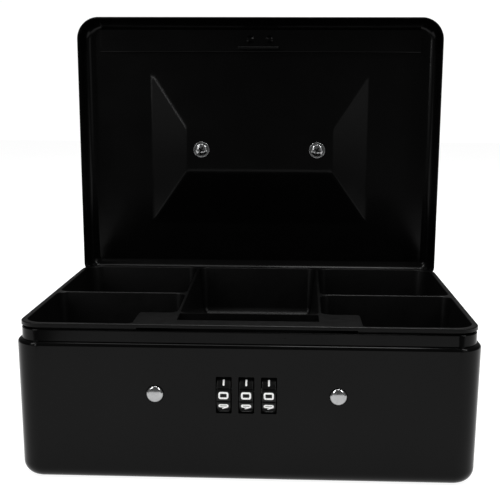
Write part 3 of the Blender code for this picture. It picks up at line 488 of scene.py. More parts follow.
def lofted(name, rings, material=None, smooth=SMOOTH_ANGLE):
    """A closed solid skinned over rings of points, with its first and last ring filled."""
    bm = bmesh.new()
    loops = [[bm.verts.new(point) for point in ring] for ring in rings]
    skin(bm, loops)
    bm.faces.new(reversed(loops[0]))
    bm.faces.new(loops[-1])
    return add_piece(name, bm, material, smooth)


def levels(corners, radii, profile, segments):
    """Rings of a rounded polygon at each (inset, z) of a profile."""
    return [[(x, y, z) for x, y in rounded_outline(corners, radii, inset, segments)]
            for inset, z in profile]


def turned(name, profile, axis, place, material=None, steps=64, smooth=SMOOTH_ANGLE):
    """A shape turned about its axis from (radius, height) points; a radius of 0 is a tip."""
    bm = bmesh.new()
    turn = {"X": Matrix.Rotation(pi / 2, 4, "Y"), "Y": Matrix.Rotation(-pi / 2, 4, "X"),
            "Z": Matrix.Identity(4)}[axis]
    spot = Matrix.Translation(place) @ turn
    rings = []
    for radius, height in profile:
        if radius == 0.0:
            rings.append([bm.verts.new(spot @ Vector((0, 0, height)))])
            continue
        circle = [(radius * cos(angle), radius * sin(angle)) for angle in round_angles(steps)]
        rings.append([bm.verts.new(spot @ Vector((u, v, height))) for u, v in circle])
    closed = profile[0][0] > 0.0
    following = rings[1:] + rings[:1] if closed else rings[1:]
    for low, high in zip(rings, following):
        for index in range(steps):
            after = (index + 1) % steps
            if len(low) == 1:
                bm.faces.new((low[0], high[after], high[index]))
            elif len(high) == 1:
                bm.faces.new((low[index], low[after], high[0]))
            else:
                bm.faces.new((low[index], low[after], high[after], high[index]))
    return add_piece(name, bm, material, smooth)


def punch(radius, reach, axis, place, steps=32):
    """Round cutter that reaches as far to either side of its place."""
    profile = [(0.0, -reach), (radius, -reach), (radius, reach), (0.0, reach)]
    return turned("punch", profile, axis, place, steps=steps)


def block(name, low, high, material=None, bevel=0.0):
    """A box between two corners, its edges rounded by the bevel."""
    bm = bmesh.new()
    size = Vector(high) - Vector(low)
    middle = (Vector(high) + Vector(low)) / 2
    place = Matrix.Translation(middle) @ Matrix.Diagonal((*size, 1.0))
    bmesh.ops.create_cube(bm, size=1.0, matrix=place)
    if bevel:
        bmesh.ops.bevel(bm, geom=bm.edges[:], offset=bevel, segments=5, profile=0.5,
                        affect="EDGES")
    return add_piece(name, bm, material)


def bend_points(here, behind, ahead, size, steps):
    """Points of a round bend at a corner, given unit directions back and onward."""
    points = []
    for step in range(steps + 1):
        share = step / steps
        start = here + behind * size * (1 - share) ** 2
        points.append(start + ahead * size * share ** 2)
    return points


def rounded_profile(corners, steps=4):
    """Closed outline whose (u, v, bend) corners are rounded by their own bend."""
    points = []
    count = len(corners)
    for index, (u, v, bend) in enumerate(corners):
        if bend == 0.0:
            points.append((u, v))
            continue
        here = Vector((u, v))
        behind = (Vector(corners[(index - 1) % count][:2]) - here).normalized()
        ahead = (Vector(corners[(index + 1) % count][:2]) - here).normalized()
        points += [tuple(point) for point in bend_points(here, behind, ahead, bend, steps)]
    return points


def place_piece(piece, body, slot, *nodes):
    """Opens a piece of the lid or handle, hangs it on its body and hides the frame's nodes that it
    stands for.
    """
    if body in ("lid", "handle"):
        piece.data.transform(LID_OPEN)
    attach(piece, body)
    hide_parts(*nodes)


# Box body


def wall_y(z):
    """Distance of the front or back wall's outer face from the middle at height z."""
    straight = SHOULDER_Z - SHOULDER_RADIUS - FOOT_RADIUS
    return DEPTH / 2 - SIDE_DRAFT * (SHOULDER_Z - SHOULDER_RADIUS - z) / straight


def wall_cutter(name, outline):
    """Punch through the front wall whose hole has a rolled outer edge.

    outline(grow) gives the hole's (x, z) points, grown all round. Each depth behind the wall's
    face comes with the share of CUT_EDGE that the hole grows there.
    """
    depths = [(-0.0030, 0.6), (-0.00002, 0.6), (0.00001, 0.45), (0.00006, 0.22)]
    depths += [(0.00013, 0.08), (CUT_EDGE, 0.0), (0.0040, 0.0)]
    rings = [[(x, depth - wall_y(z), z) for x, z in outline(CUT_EDGE * share)]
             for depth, share in depths]
    return lofted(name, rings)


def window_outline(x):
    """Outline of one dial window, by how far it is grown."""
    def outline(grow):
        corners = rectangle(WINDOW_WIDTH, WINDOW_HEIGHT, DIAL_Z)
        return [(x + u, v) for u, v in rounded_outline(corners, WINDOW_CORNER, -grow, 5)]
    return outline


def button_outline(x):
    """Outline of one button's hole, by how far it is grown."""
    def outline(grow):
        radius = BUTTON_RADIUS - BUTTON_SLACK + GAP + grow * 0.5
        return [(x + radius * cos(a), DIAL_Z + radius * sin(a)) for a in round_angles(64)]
    return outline


def hinge_rivet_punches(z):
    """Cutters for the rivet holes of both hinges in a back wall, at height z."""
    return [punch(RIVET_HOLE, 0.004, "Y", (hinge_x + offset, DEPTH / 2, z), 24)
            for hinge_x in (-HINGE_X, HINGE_X) for offset in (-RIVET_OFFSET_X, RIVET_OFFSET_X)]


def box_body():
    """Drawn pan with a rounded foot, a rolled shoulder and a set-in neck."""
    bend_z = SHOULDER_Z - SHOULDER_RADIUS
    foot = SIDE_DRAFT + FOOT_RADIUS
    lip = SHEET / 2
    outside = arc(foot, FOOT_RADIUS, FOOT_RADIUS, -90, 0, 12)
    outside += arc(SHOULDER_RADIUS, bend_z, SHOULDER_RADIUS, 0, 90, 10)
    outside += [(NECK_INSET - 0.00006, SHOULDER_Z), (NECK_INSET, SHOULDER_Z + 0.00014)]
    outside += [(NECK_INSET, NECK_TOP_Z - lip)]
    outside += arc(NECK_INSET + lip, NECK_TOP_Z - lip, lip, 15, 165, 6)
    inner_neck = NECK_INSET + SHEET
    inside = [(inner_neck, NECK_TOP_Z - lip), (inner_neck, SHOULDER_Z - SHEET + 0.0002)]
    inside += arc(SHOULDER_RADIUS, bend_z, SHOULDER_RADIUS - SHEET, 80, 0, 5)
    inside += arc(foot, FOOT_RADIUS, FOOT_RADIUS - SHEET, 0, -90, 10)
    radii = [FRONT_CORNER, FRONT_CORNER, BACK_CORNER, BACK_CORNER]
    rings = levels(rectangle(WIDTH, DEPTH), radii, outside + inside, 20)
    body = lofted("cash_box_body", rings, "box_paint")
    tools = []
    for number, x in enumerate((-DIAL_PITCH, 0.0, DIAL_PITCH), 1):
        tools.append(wall_cutter(f"cut_window_{number}", window_outline(x)))
    for side, x in (("left", -BUTTON_X), ("right", BUTTON_X)):
        tools.append(wall_cutter(f"cut_button_{side}", button_outline(x)))
    cut(body, tools + hinge_rivet_punches(BODY_RIVET_Z))
    even_shading(body)
    place_piece(body, "box", "black_paint", "box_body")


# Coin tray


def pocket(name, corners, bend=POCKET_FILLET):
    """Cutter for one tray pocket, with drafted walls, a rounded floor edge and a rounded top."""
    outermost = {(x, y) for x in (-POCKET_X, POCKET_X) for y in (-POCKET_Y, POCKET_Y)}
    outer_radius = TRAY_CORNER - TRAY_WALL
    radii = [outer_radius if corner in outermost else POCKET_CORNER for corner in corners]
    for index, (x, y) in enumerate(corners):
        if abs(x) == LEDGE_X:
            radii[index] = LEDGE_CORNER
    profile = arc(TRAY_DRAFT + bend, TRAY_FLOOR_Z + bend, bend, -88, 0, 12)
    lip_z = TRAY_TOP_Z - POCKET_LIP
    for step in range(7):
        angle = pi / 2 * step / 6
        profile.append((-POCKET_LIP * (1 - cos(angle)), lip_z + POCKET_LIP * sin(angle)))
    profile.append((-POCKET_LIP * 1.15, TRAY_TOP_Z + 0.00002))
    profile.append((-POCKET_LIP * 1.2, TRAY_TOP_Z + 0.003))
    return lofted(name, levels(corners, radii, profile, 10))


def divider_x(y):
    """Middle of the right-hand centre divider at y, which closes in toward the front."""
    share = (y - LEDGE_BACK_Y) / (POCKET_Y - LEDGE_BACK_Y)
    return CENTRE_DIVIDER_FRONT_X + (CENTRE_DIVIDER_BACK_X - CENTRE_DIVIDER_FRONT_X) * share


def coin_tray():
    """Moulded tray: five pockets, a flat ledge over the lock and a well for the strike."""
    rim_z = TRAY_TOP_Z - TRAY_RIM_HEIGHT
    foot = TRAY_FOOT_RADIUS
    wall = arc(TRAY_DRAFT + foot, TRAY_BOTTOM_Z + foot, foot, -90, 0, 8)
    wall += [(0.0003, rim_z - 0.0003), (0.0, rim_z)]
    rim = [(0.0002, rim_z), (0.0, rim_z + 0.0002)]
    rim += arc(TRAY_RIM_EDGE, TRAY_TOP_Z - TRAY_RIM_EDGE, TRAY_RIM_EDGE, 0, 90, 6)
    rings = levels(rectangle(TRAY_WIDTH, TRAY_DEPTH), TRAY_CORNER, wall, 14)
    rings += levels(rectangle(TRAY_RIM_WIDTH, TRAY_RIM_DEPTH), TRAY_CORNER, rim, 14)
    tray = lofted("cash_box_tray", rings, "tray_plastic")

    half = DIVIDER / 2
    ledge_x = divider_x(LEDGE_BACK_Y)
    back_x = divider_x(POCKET_Y)
    well_x = ledge_x - half
    centre_x = back_x - half
    centre_y = NOTCH_BACK_Y + TRAY_WALL
    mid_back = SIDE_DIVIDER_Y + half
    mid_front = SIDE_DIVIDER_Y - half
    centre = [(-well_x, centre_y), (well_x, centre_y), (centre_x, POCKET_Y), (-centre_x, POCKET_Y)]
    back_right = [(divider_x(mid_back) + half, mid_back), (POCKET_X, mid_back),
                  (POCKET_X, POCKET_Y), (back_x + half, POCKET_Y)]
    front_right = [(LEDGE_X, -POCKET_Y), (POCKET_X, -POCKET_Y), (POCKET_X, mid_front),
                   (divider_x(mid_front) + half, mid_front), (ledge_x + half, LEDGE_BACK_Y),
                   (LEDGE_X, LEDGE_BACK_Y)]
    shapes = {}
    for name, corners in (("back", back_right), ("front", front_right)):
        shapes[name + "_right"] = corners
        shapes[name + "_left"] = [(-x, y) for x, y in reversed(corners)]
    tools = [pocket("cut_pocket_" + name, corners) for name, corners in shapes.items()]
    tools.append(pocket("cut_pocket_centre", centre, CENTRE_FILLET))
    underside = TRAY_TOP_Z - LEDGE_THICKNESS
    low = (-NOTCH_X, -DEPTH / 2, TRAY_BOTTOM_Z - 0.002)
    tools.append(block("cut_lock_notch", low, (NOTCH_X, NOTCH_BACK_Y, underside)))
    low = (-well_x, WELL_FRONT_Y, underside - 0.002)
    tools.append(block("cut_strike_well", low, (well_x, WELL_BACK_Y, TRAY_TOP_Z + 0.002)))
    cut(tray, tools)
    even_shading(tray)
    place_piece(tray, "tray", "black_plastic", "coin_tray")


# Lid


def recess_height(share):
    """Height share of the recess wall, with its top and bottom bends rounded off."""
    low = RECESS_BEND
    if share < -low:
        return 0.0
    if share < low:
        return (share + low) ** 2 / (4 * low)
    if share < 1 - low:
        return share
    if share < 1 + low:
        return 1 - (1 + low - share) ** 2 / (4 * low)
    return 1.0


def recess_rings(drop_z):
    """Rings from the panel down the recess walls to its floor, lowered by drop_z."""
    shares = [bend + RECESS_BEND * step / 4 for bend in (1, 0) for step in range(4, -5, -1)]
    rings = []
    for share in shares:
        width = RECESS_FLOOR_WIDTH + (RECESS_WIDTH - RECESS_FLOOR_WIDTH) * share
        depth = RECESS_FLOOR_DEPTH_Y + (RECESS_DEPTH_Y - RECESS_FLOOR_DEPTH_Y) * share
        z = LID_TOP_Z - RECESS_DROP * (1 - recess_height(share)) - drop_z
        outline = rounded_outline(rectangle(width, depth, RECESS_Y), RECESS_CORNER, 0.0, 20)
        rings.append([(x, y, z) for x, y in outline])
    return rings


def lid_shell():
    """Drawn lid with rounded edges and a sunk recess for the handle."""
    edge_z = LID_TOP_Z - LID_EDGE_RADIUS
    rim = 0.0005
    outside = [(0.0, LID_RIM_Z + rim)]
    outside += arc(LID_EDGE_RADIUS, edge_z, LID_EDGE_RADIUS, 0, 90, 14)
    inside = [(SHEET, LID_RIM_Z + rim)]
    inside += arc(LID_EDGE_RADIUS, edge_z, LID_EDGE_RADIUS - SHEET, 0, 90, 12)
    inside.reverse()
    hem = arc(rim, LID_RIM_Z + rim, rim, -165, -15, 6)
    corners = rectangle(WIDTH, DEPTH)
    rings = list(reversed(recess_rings(SHEET)))
    radii = [LID_FRONT_CORNER, LID_FRONT_CORNER, BACK_CORNER, BACK_CORNER]
    rings += levels(corners, radii, inside + hem + outside, 20)
    rings += recess_rings(0.0)
    shell = lofted("cash_box_lid", rings, "lid_paint", radians(40))
    floor_z = LID_TOP_Z - RECESS_DROP
    tools = [punch(SCREW_HOLE, 0.003, "Z", (x, RECESS_Y, floor_z)) for x in (-POST_X, POST_X)]
    cut(shell, tools + hinge_rivet_punches(LID_RIVET_Z))
    even_shading(shell)
    place_piece(shell, "lid", "black_paint", "lid_shell")


def extruded_x(name, outline, half, material):
    """A bar of a (y, z) outline along X, with its ends slightly rounded."""
    edge = 0.0002
    middle = sum((Vector(point) for point in outline), Vector((0, 0))) / len(outline)
    rings = []
    for x, shrink in ((-half, edge), (-half + edge, 0), (half - edge, 0), (half, edge)):
        ring = []
        for y, z in outline:
            inward = (middle - Vector((y, z))).normalized() * shrink * 0.3
            ring.append((x, y + inward.x, z + inward.y))
        rings.append(ring)
    return lofted(name, rings, material)


def strike_rivet_punches(z):
    """Cutters for the two rivets that hold the strike to the rail, at height z."""
    places = [(x, STRIKE_RIVET_Y, z) for x in (-STRIKE_WIDTH / 4, STRIKE_WIDTH / 4)]
    return [punch(STRIKE_RIVET_HOLE, 0.003, "Z", place) for place in places]


def front_rail():
    """Channel along the inside of the lid's front, slotted for the strike."""
    top_z = LID_TOP_Z - SHEET - GAP
    edge = RAIL_BEND * 0.15
    inner = RAIL_BEND * 0.35
    outline = rounded_profile([
        (RAIL_FRONT_Y, RAIL_FACE_Z, RAIL_BEND),
        (RAIL_BACK_Y, RAIL_FACE_Z, RAIL_BEND),
        (RAIL_BACK_Y, top_z, edge),
        (RAIL_BACK_Y - SHEET, top_z, edge),
        (RAIL_BACK_Y - SHEET, RAIL_FACE_Z + SHEET, inner),
        (RAIL_FRONT_Y + SHEET, RAIL_FACE_Z + SHEET, inner),
        (RAIL_FRONT_Y + SHEET, top_z, edge),
        (RAIL_FRONT_Y, top_z, edge),
    ], 5)
    rail = extruded_x("cash_box_lid_rail", outline, RAIL_LENGTH / 2, "lid_paint")
    slot = STRIKE_WIDTH / 2 + STRIKE_PLAY
    low = (-slot, STRIKE_FRONT_Y - STRIKE_PLAY, RAIL_FACE_Z - 0.001)
    high = (slot, STRIKE_FRONT_Y + STRIKE_THICKNESS + STRIKE_PLAY, RAIL_FACE_Z + 0.002)
    cut(rail, [block("cut_rail_slot", low, high)] + strike_rivet_punches(RAIL_FACE_Z))
    even_shading(rail)
    place_piece(rail, "lid", "black_paint", "lid_front_rail")


def lid_strike():
    """Bent plate whose window the latch hook enters."""
    foot_z = RAIL_FACE_Z + SHEET + GAP
    back_y = STRIKE_FRONT_Y + STRIKE_THICKNESS
    edge = STRIKE_BEND * 0.2
    outline = rounded_profile([
        (STRIKE_FRONT_Y, STRIKE_TIP_Z, edge),
        (back_y, STRIKE_TIP_Z, edge),
        (back_y, foot_z + SHEET, STRIKE_BEND),
        (STRIKE_FOOT_FRONT_Y, foot_z + SHEET, edge),
        (STRIKE_FOOT_FRONT_Y, foot_z, edge),
        (STRIKE_FRONT_Y, foot_z, STRIKE_BEND * 0.4),
    ], 5)
    strike = extruded_x("cash_box_strike", outline, STRIKE_WIDTH / 2, "lid_paint")
    half = STRIKE_SLOT_WIDTH / 2
    corners = [(-half, STRIKE_SLOT_BOTTOM_Z), (half, STRIKE_SLOT_BOTTOM_Z),
               (half, STRIKE_SLOT_TOP_Z), (-half, STRIKE_SLOT_TOP_Z)]
    hole = rounded_outline(corners, STRIKE_BEND, 0.0, 6)
    rings = [[(x, y, z) for x, z in hole] for y in (STRIKE_FRONT_Y - 0.001, back_y + 0.001)]
    cut(strike, [lofted("cut_strike_window", rings)] + strike_rivet_punches(foot_z))
    even_shading(strike)
    place_piece(strike, "lid", "black_paint", "lid_strike")


# Handle


def washer_profile(bottom, top):
    """Ring profile of a washer between two heights."""
    return rounded_profile([
        (WASHER_BORE_RADIUS, bottom, 0.0001),
        (WASHER_RADIUS, bottom, 0.0003),
        (WASHER_RADIUS, top, 0.0001),
        (WASHER_BORE_RADIUS, top, 0.0001),
    ])


def screw_profile(head_top):
    """Profile of a screw that hangs head down: its domed head, then its shank up to its end."""
    rim = 0.0001
    dome = [(0.0, head_top - SCREW_HEAD_HEIGHT)]
    for step in range(1, 13):
        angle = pi / 2 * step / 12
        rise = (SCREW_HEAD_HEIGHT - rim) * cos(angle) ** 0.9
        dome.append((SCREW_HEAD_RADIUS * sin(angle) ** 0.85, head_top - rim - rise))
    end = LID_TOP_Z - RECESS_DROP + SCREW_END
    shank = [(SCREW_HEAD_RADIUS, head_top), (SCREW_RADIUS, head_top)]
    shank += [(SCREW_RADIUS, end - SCREW_CHAMFER), (SCREW_RADIUS - SCREW_CHAMFER, end), (0.0, end)]
    return dome + shank


def screw_cross(x, crown):
    """The two tapered slots across a screw head whose lowest point is the crown; their faces are
    painted dark as painted shade in the recess.
    """
    tools = []
    for turn in (0, pi / 2):
        spin = Matrix.Rotation(turn + SCREW_TURN, 4, "Z")
        place = Matrix.Translation((x, RECESS_Y, crown)) @ spin
        rings = []
        for z, half_length, half_width in ((-0.0005, 0.0024, 0.00062), (0.0026, 0.0011, 0.00040)):
            shape = rectangle(2 * half_length, 2 * half_width)
            rings.append([place @ Vector((u, v, z)) for u, v in shape])
        # The slot faces take the dark plastic finish: painted shade inside the cross recess.
        tools.append(lofted("cut_cross", rings, "case_plastic_and_painted_shade"))
    return tools


def handle_screws():
    """Pan-head cross screws and washers on the inside of the lid."""
    washer_top = LID_TOP_Z - RECESS_DROP - SHEET - GAP
    washer_bottom = washer_top - WASHER_THICKNESS
    head_top = washer_bottom - GAP
    for side, x in (("left", -POST_X), ("right", POST_X)):
        place = (x, RECESS_Y, 0)
        ring = washer_profile(washer_bottom, washer_top)
        washer = turned(f"lid_washer_{side}", ring, "Z", place, "chrome")
        place_piece(washer, "lid", "chrome", f"handle_washer_{side}")
        screw = turned(f"lid_screw_{side}", screw_profile(head_top), "Z", place, "chrome")
        cut(screw, screw_cross(x, head_top - SCREW_HEAD_HEIGHT))
        even_shading(screw)
        place_piece(screw, "lid", "chrome", f"handle_screw_{side}")


def closed_box(node):
    """Lowest and highest corner of a lid node as it lies with the lid closed."""
    back = LID_OPEN.inverted()
    points = [back @ vertex.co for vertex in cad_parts[node].data.vertices]
    return [min(axis) for axis in zip(*points)], [max(axis) for axis in zip(*points)]


def handle_posts():
    """Rounded posts on the outside of the lid, with blind bores for the handle's ends."""
    for side, sign in (("left", -1), ("right", 1)):
        low, high = closed_box(f"handle_post_{side}")
        post = block(f"lid_post_{side}", low, high, "handle_chrome", POST_BEVEL)
        middle_x = (low[0] + high[0]) / 2
        half = (high[0] - low[0]) / 2
        deep = POST_X - POST_BORE_DEPTH_X - sign * middle_x
        mouth = POST_BORE_RADIUS + POST_BORE_FLARE
        bore = [(0.0, deep), (POST_BORE_RADIUS, deep), (POST_BORE_RADIUS, half - POST_BORE_FLARE)]
        bore += [(mouth, half), (mouth, half * 1.4), (0.0, half * 1.4)]
        if sign < 0:
            bore = [(radius, -along) for radius, along in reversed(bore)]
        cut(post, [turned("cut_bore", bore, "X", (middle_x, RECESS_Y, HANDLE_Z), steps=40)])
        even_shading(post)
        place_piece(post, "lid", "chrome", f"handle_post_{side}")


def bent_path(corners, radii):
    """Points of an open path in 3D with each inner corner rounded."""
    steps = 14
    points = [Vector(corners[0])]
    for before, here, after, radius in zip(corners, corners[1:], corners[2:], radii):
        here = Vector(here)
        behind = (Vector(before) - here).normalized()
        ahead = (Vector(after) - here).normalized()
        half = behind.angle(ahead) / 2
        centre = here + (behind + ahead).normalized() * radius / sin(half)
        start = here + behind * radius / tan(half) - centre
        normal = behind.cross(ahead)
        for step in range(steps + 1):
            turn = -(pi - 2 * half) * step / steps
            points.append(centre + Matrix.Rotation(turn, 3, normal) @ start)
    points.append(Vector(corners[-1]))
    return points


def wire_ring(centre, across, upward, radius, sides):
    """Circle of points round a centre, in the plane of two unit directions."""
    return [centre + (across * cos(a) + upward * sin(a)) * radius for a in round_angles(sides)]


def tube(name, points, radius, material):
    """A round wire along points that lie in a level plane, with its ends chamfered."""
    edge = 0.0004
    last = len(points) - 1
    aims = [(points[min(index + 1, last)] - points[max(index - 1, 0)]).normalized()
            for index in range(last + 1)]
    out = Vector((0, 0, 1))
    stations = [(points[0], aims[0], radius - edge)]
    stations += [(points[0] + aims[0] * edge, aims[0], radius)]
    stations += [(point, aim, radius) for point, aim in zip(points[1:-1], aims[1:-1])]
    stations += [(points[-1] - aims[-1] * edge, aims[-1], radius)]
    stations += [(points[-1], aims[-1], radius - edge)]
    rings = [wire_ring(centre, aim.cross(out).normalized(), out, size, 32)
             for centre, aim, size in stations]
    return lofted(name, rings, material)


def handle_bail():
    """Round-wire carry handle whose bent-in ends turn in the posts."""
    corners = [
        (-HANDLE_END_X, 0, 0),
        (-HANDLE_ARM_X, 0, 0),
        (-HANDLE_ARM_X, HANDLE_REACH, 0),
        (HANDLE_ARM_X, HANDLE_REACH, 0),
        (HANDLE_ARM_X, 0, 0),
        (HANDLE_END_X, 0, 0),
    ]
    bends = (HANDLE_END_BEND, HANDLE_BEND, HANDLE_BEND, HANDLE_END_BEND)
    points = bent_path(corners, bends)
    bail = tube("carry_handle", points, HANDLE_WIRE_RADIUS, "handle_chrome")
    spot = Matrix.Translation((0, RECESS_Y, HANDLE_Z)) @ Matrix.Rotation(HANDLE_REST_TILT, 4, "X")
    bail.data.transform(spot)
    place_piece(bail, "handle", "chrome", "handle_bail")


# Lock


def buttons():
    """Push buttons with a domed, bevelled face and a retaining collar and stem, the collar and
    stem painted dark as painted shade in the gap round the button.
    """
    radius = BUTTON_RADIUS - BUTTON_SLACK
    face = radius - BUTTON_BEVEL
    collar = BUTTON_COLLAR_FRONT_Y - BUTTON_FRONT_Y
    collar_back = BUTTON_COLLAR_BACK_Y - BUTTON_FRONT_Y
    end = BUTTON_STEM_END_Y - BUTTON_FRONT_Y
    profile = []
    for step in range(13):
        across = face * step / 12
        profile.append((across, BUTTON_DOME - (BUTTON_DOME ** 2 - across ** 2) ** 0.5))
    dome_edge = profile[-1][1]
    profile += rounded_profile([
        (face + 0.0001, dome_edge + 0.00005, 0.0),
        (radius, dome_edge + BUTTON_BEVEL, 0.0003),
        (radius, collar, 0.0),
        (BUTTON_COLLAR_RADIUS, collar, 0.0002),
        (BUTTON_COLLAR_RADIUS, collar_back, 0.0002),
        (BUTTON_STEM_RADIUS, collar_back, 0.0),
        (BUTTON_STEM_RADIUS, end, 0.0003),
        (0.0, end, 0.0),
    ])
    for side, x in (("left", -BUTTON_X), ("right", BUTTON_X)):
        place = (x, BUTTON_FRONT_Y, DIAL_Z)
        button = turned(f"push_button_{side}", profile, "Y", place, "chrome", 96, radians(60))
        even_shading(button)
        # The collar and stem take the dark plastic finish: painted shade where they show through
        # the gap round the button.
        button.data.materials.append(FINISHES["case_plastic_and_painted_shade"])
        for polygon in button.data.polygons:
            if polygon.center.y > BUTTON_COLLAR_FRONT_Y - 0.0001:
                polygon.material_index = 1
        place_piece(button, f"button_{side}", "chrome", f"button_{side}")


def latch_springs():
    """Coil springs behind the latch bar, closer wound at their ends."""
    length = SPRING_BACK_Y - SPRING_FRONT_Y
    steps = SPRING_STEPS * SPRING_TURNS
    aim = Vector((0, 1, 0))
    for side, x in (("left", -BUTTON_X), ("right", BUTTON_X)):
        rings = []
        for step in range(steps + 1):
            angle = 2 * pi * step / SPRING_STEPS
            share = step / steps
            share -= SPRING_END_TURN * sin(2 * pi * share) / (2 * pi)
            out = Vector((cos(angle), 0, sin(angle)))
            centre = Vector((x, SPRING_FRONT_Y + length * share, DIAL_Z)) + out * SPRING_RADIUS
            rings.append(wire_ring(centre, out, aim, SPRING_WIRE, 12))
        spring = lofted(f"coil_spring_{side}", rings, "spring_steel", radians(50))
        place_piece(spring, "box", "spring_steel", f"latch_spring_{side}")
        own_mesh(spring)


# Each numeral's strokes, as corners in a cell from (-1, -1) to (1, 1) and whether they close
NUMERALS = {
    0: [([(-1, -1), (1, -1), (1, 1), (-1, 1)], True)],
    1: [([(0, -1), (0, 1)], False)],
    2: [([(-1, 1), (1, 1), (1, 0), (-1, 0), (-1, -1), (1, -1)], False)],
    3: [([(-1, 1), (1, 1), (1, 0), (-0.5, 0)], False), ([(1, 0), (1, -1), (-1, -1)], False)],
    4: [([(0.4, -1), (0.4, 1), (-1, -0.35), (1, -0.35)], False)],
    5: [([(1, 1), (-1, 1), (-1, 0.1), (1, 0.1), (1, -1), (-1, -1)], False)],
    6: [([(0.2, 1), (-1, 0), (-1, -1), (1, -1), (1, 0), (-1, 0)], False)],
    7: [([(-1, 1), (1, 1), (-0.2, -1)], False)],
    8: [([(-1, 0), (1, 0), (1, 1), (-1, 1)], True), ([(-1, -1), (1, -1), (1, 0), (-1, 0)], True)],
    9: [([(-0.2, -1), (1, 0), (1, 1), (-1, 1), (-1, 0), (1, 0)], False)],
}


def stroke_points(corners, closed):
    """A stroke's centreline in metres, with round bends and close points."""
    half_x = (NUMERAL_WIDTH - NUMERAL_STROKE) / 2
    half_y = (NUMERAL_HEIGHT - NUMERAL_STROKE) / 2
    places = [Vector((x * half_x, y * half_y)) for x, y in corners]
    count = len(places)
    bent = []
    for index, here in enumerate(places):
        if not closed and index in (0, count - 1):
            bent.append(here)
            continue
        behind = places[index - 1] - here
        ahead = places[(index + 1) % count] - here
        size = min(NUMERAL_CORNER, behind.length * 0.45, ahead.length * 0.45)
        bent += bend_points(here, behind.normalized(), ahead.normalized(), size, 6)
    if closed:
        bent.append(bent[0])
    close = [bent[0]]
    for start, stop in zip(bent, bent[1:]):
        pieces = max(1, round((stop - start).length / 0.0003))
        close += [start.lerp(stop, step / pieces) for step in range(1, pieces + 1)]
    return close[:-1] if closed else close


def stroke(bm, corners, closed, wrap):
    """Adds one raised stroke to the bmesh, laid on the wheel by wrap(across, up, height)."""
    points = stroke_points(corners, closed)
    count = len(points)
    half = NUMERAL_STROKE / 2
    section = [(-1.0, -0.4), (-0.94, 0.7), (-0.8, 1.0), (0.8, 1.0), (0.94, 0.7), (1.0, -0.4)]
    rings = []
    for index, here in enumerate(points):
        before = points[index - 1] if closed or index else here
        after = points[(index + 1) % count] if closed or index < count - 1 else here
        aim = (after - before).normalized()
        side = Vector((aim.y, -aim.x))
        rings.append([bm.verts.new(wrap(here + side * half * u, v)) for u, v in section])
    if not closed:
        ends = []
        for here, other in ((points[0], points[1]), (points[-1], points[-2])):
            out = (here - other).normalized()
            side = Vector((out.y, -out.x)) * (1 if here is points[-1] else -1)
            cap = []
            for angle in (radians(30), radians(55), radians(75)):
                tip = here + out * half * 0.8 * sin(angle)
                narrow = half * cos(angle) ** 0.5
                cap.append([bm.verts.new(wrap(tip + side * narrow * u, v)) for u, v in section])
            ends.append(cap)
        rings = ends[0][::-1] + rings + ends[1]
    skin(bm, rings + rings[:1] if closed else rings)
    if not closed:
        bm.faces.new(rings[0])
        bm.faces.new(reversed(rings[-1]))


def wheel_point(x, radius, angle):
    """A point round the dials' axle, its angle counted upward from the front."""
    return (x, DIAL_Y - radius * cos(angle), DIAL_Z + radius * sin(angle))


def dial_wheel(number, x):
    """One number wheel: ten faces parted by grooves, bored for the axle."""
    half = DIAL_WIDTH / 2
    edge = DIAL_EDGE
    steps = DIAL_FACE_STEPS * DIAL_FACES
    middle = DIAL_FACE_STEPS / 2
    bm = bmesh.new()
    rings = []
    stations = [(-half, -edge)]
    stations += [(-half + edge * (1 - cos(a)), -edge * (1 - sin(a)))
                 for a in (pi / 8, pi / 4, 3 * pi / 8)]
    stations += [(-half + edge, 0.0), (half - edge, 0.0)]
    stations += [(-place, size) for place, size in reversed(stations[:4])]
    for place, size in stations:
        ring = []
        for step, angle in enumerate(round_angles(steps)):
            away = abs(step % DIAL_FACE_STEPS - middle) / 2.0
            groove = DIAL_GROOVE * max(0.0, 1 - away) ** 0.8
            radius = DIAL_RADIUS + size - groove
            ring.append(bm.verts.new(wheel_point(x + place, radius, angle + DIAL_REST_TURN)))
        rings.append(ring)
    for place in (half, -half):
        rings.append([bm.verts.new(wheel_point(x + place, DIAL_BORE_RADIUS, angle))
                      for angle in round_angles(steps)])
    skin(bm, rings + rings[:1])
    wheel = add_piece(f"number_wheel_{number}", bm, "dial_plastic", radians(50))
    even_shading(wheel)
    place_piece(wheel, f"dial_{number}", "black_plastic", f"dial_wheel_{number}")


def wheel_numerals(number, x):
    """The raised white numerals round one number wheel."""
    bm = bmesh.new()
    for numeral, strokes in NUMERALS.items():
        middle = 2 * pi * numeral / DIAL_FACES + DIAL_REST_TURN

        def wrap(point, height):
            radius = DIAL_RADIUS + NUMERAL_RAISE * height
            return wheel_point(x + point.x, radius, middle + point.y / DIAL_RADIUS)

        for corners, closed in strokes:
            stroke(bm, corners, closed, wrap)
    figures = add_piece(f"numerals_{number}", bm, "numeral_white", radians(50))
    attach(figures, f"dial_{number}")


# Carried-over nodes

CARRIED = {
    "lid_paint": ("hinge_left_body_leaf", "hinge_right_body_leaf", "hinge_left_lid_leaf",
                  "hinge_right_lid_leaf", "strike_rivet_left", "strike_rivet_right"),
    "case_plastic_and_painted_shade": ("lock_case",),
    "spring_steel": ("detent_spring",),
    "brass": ("dial_cam_1", "dial_cam_2", "dial_cam_3"),
}
EDGE_BEVELS = {"hinge": 0.00018, "lock_case": 0.00030, "latch_bar": 0.00020,
               "dial_cam": 0.00015, "detent": 0.00010, "lock_nut": 0.00020}


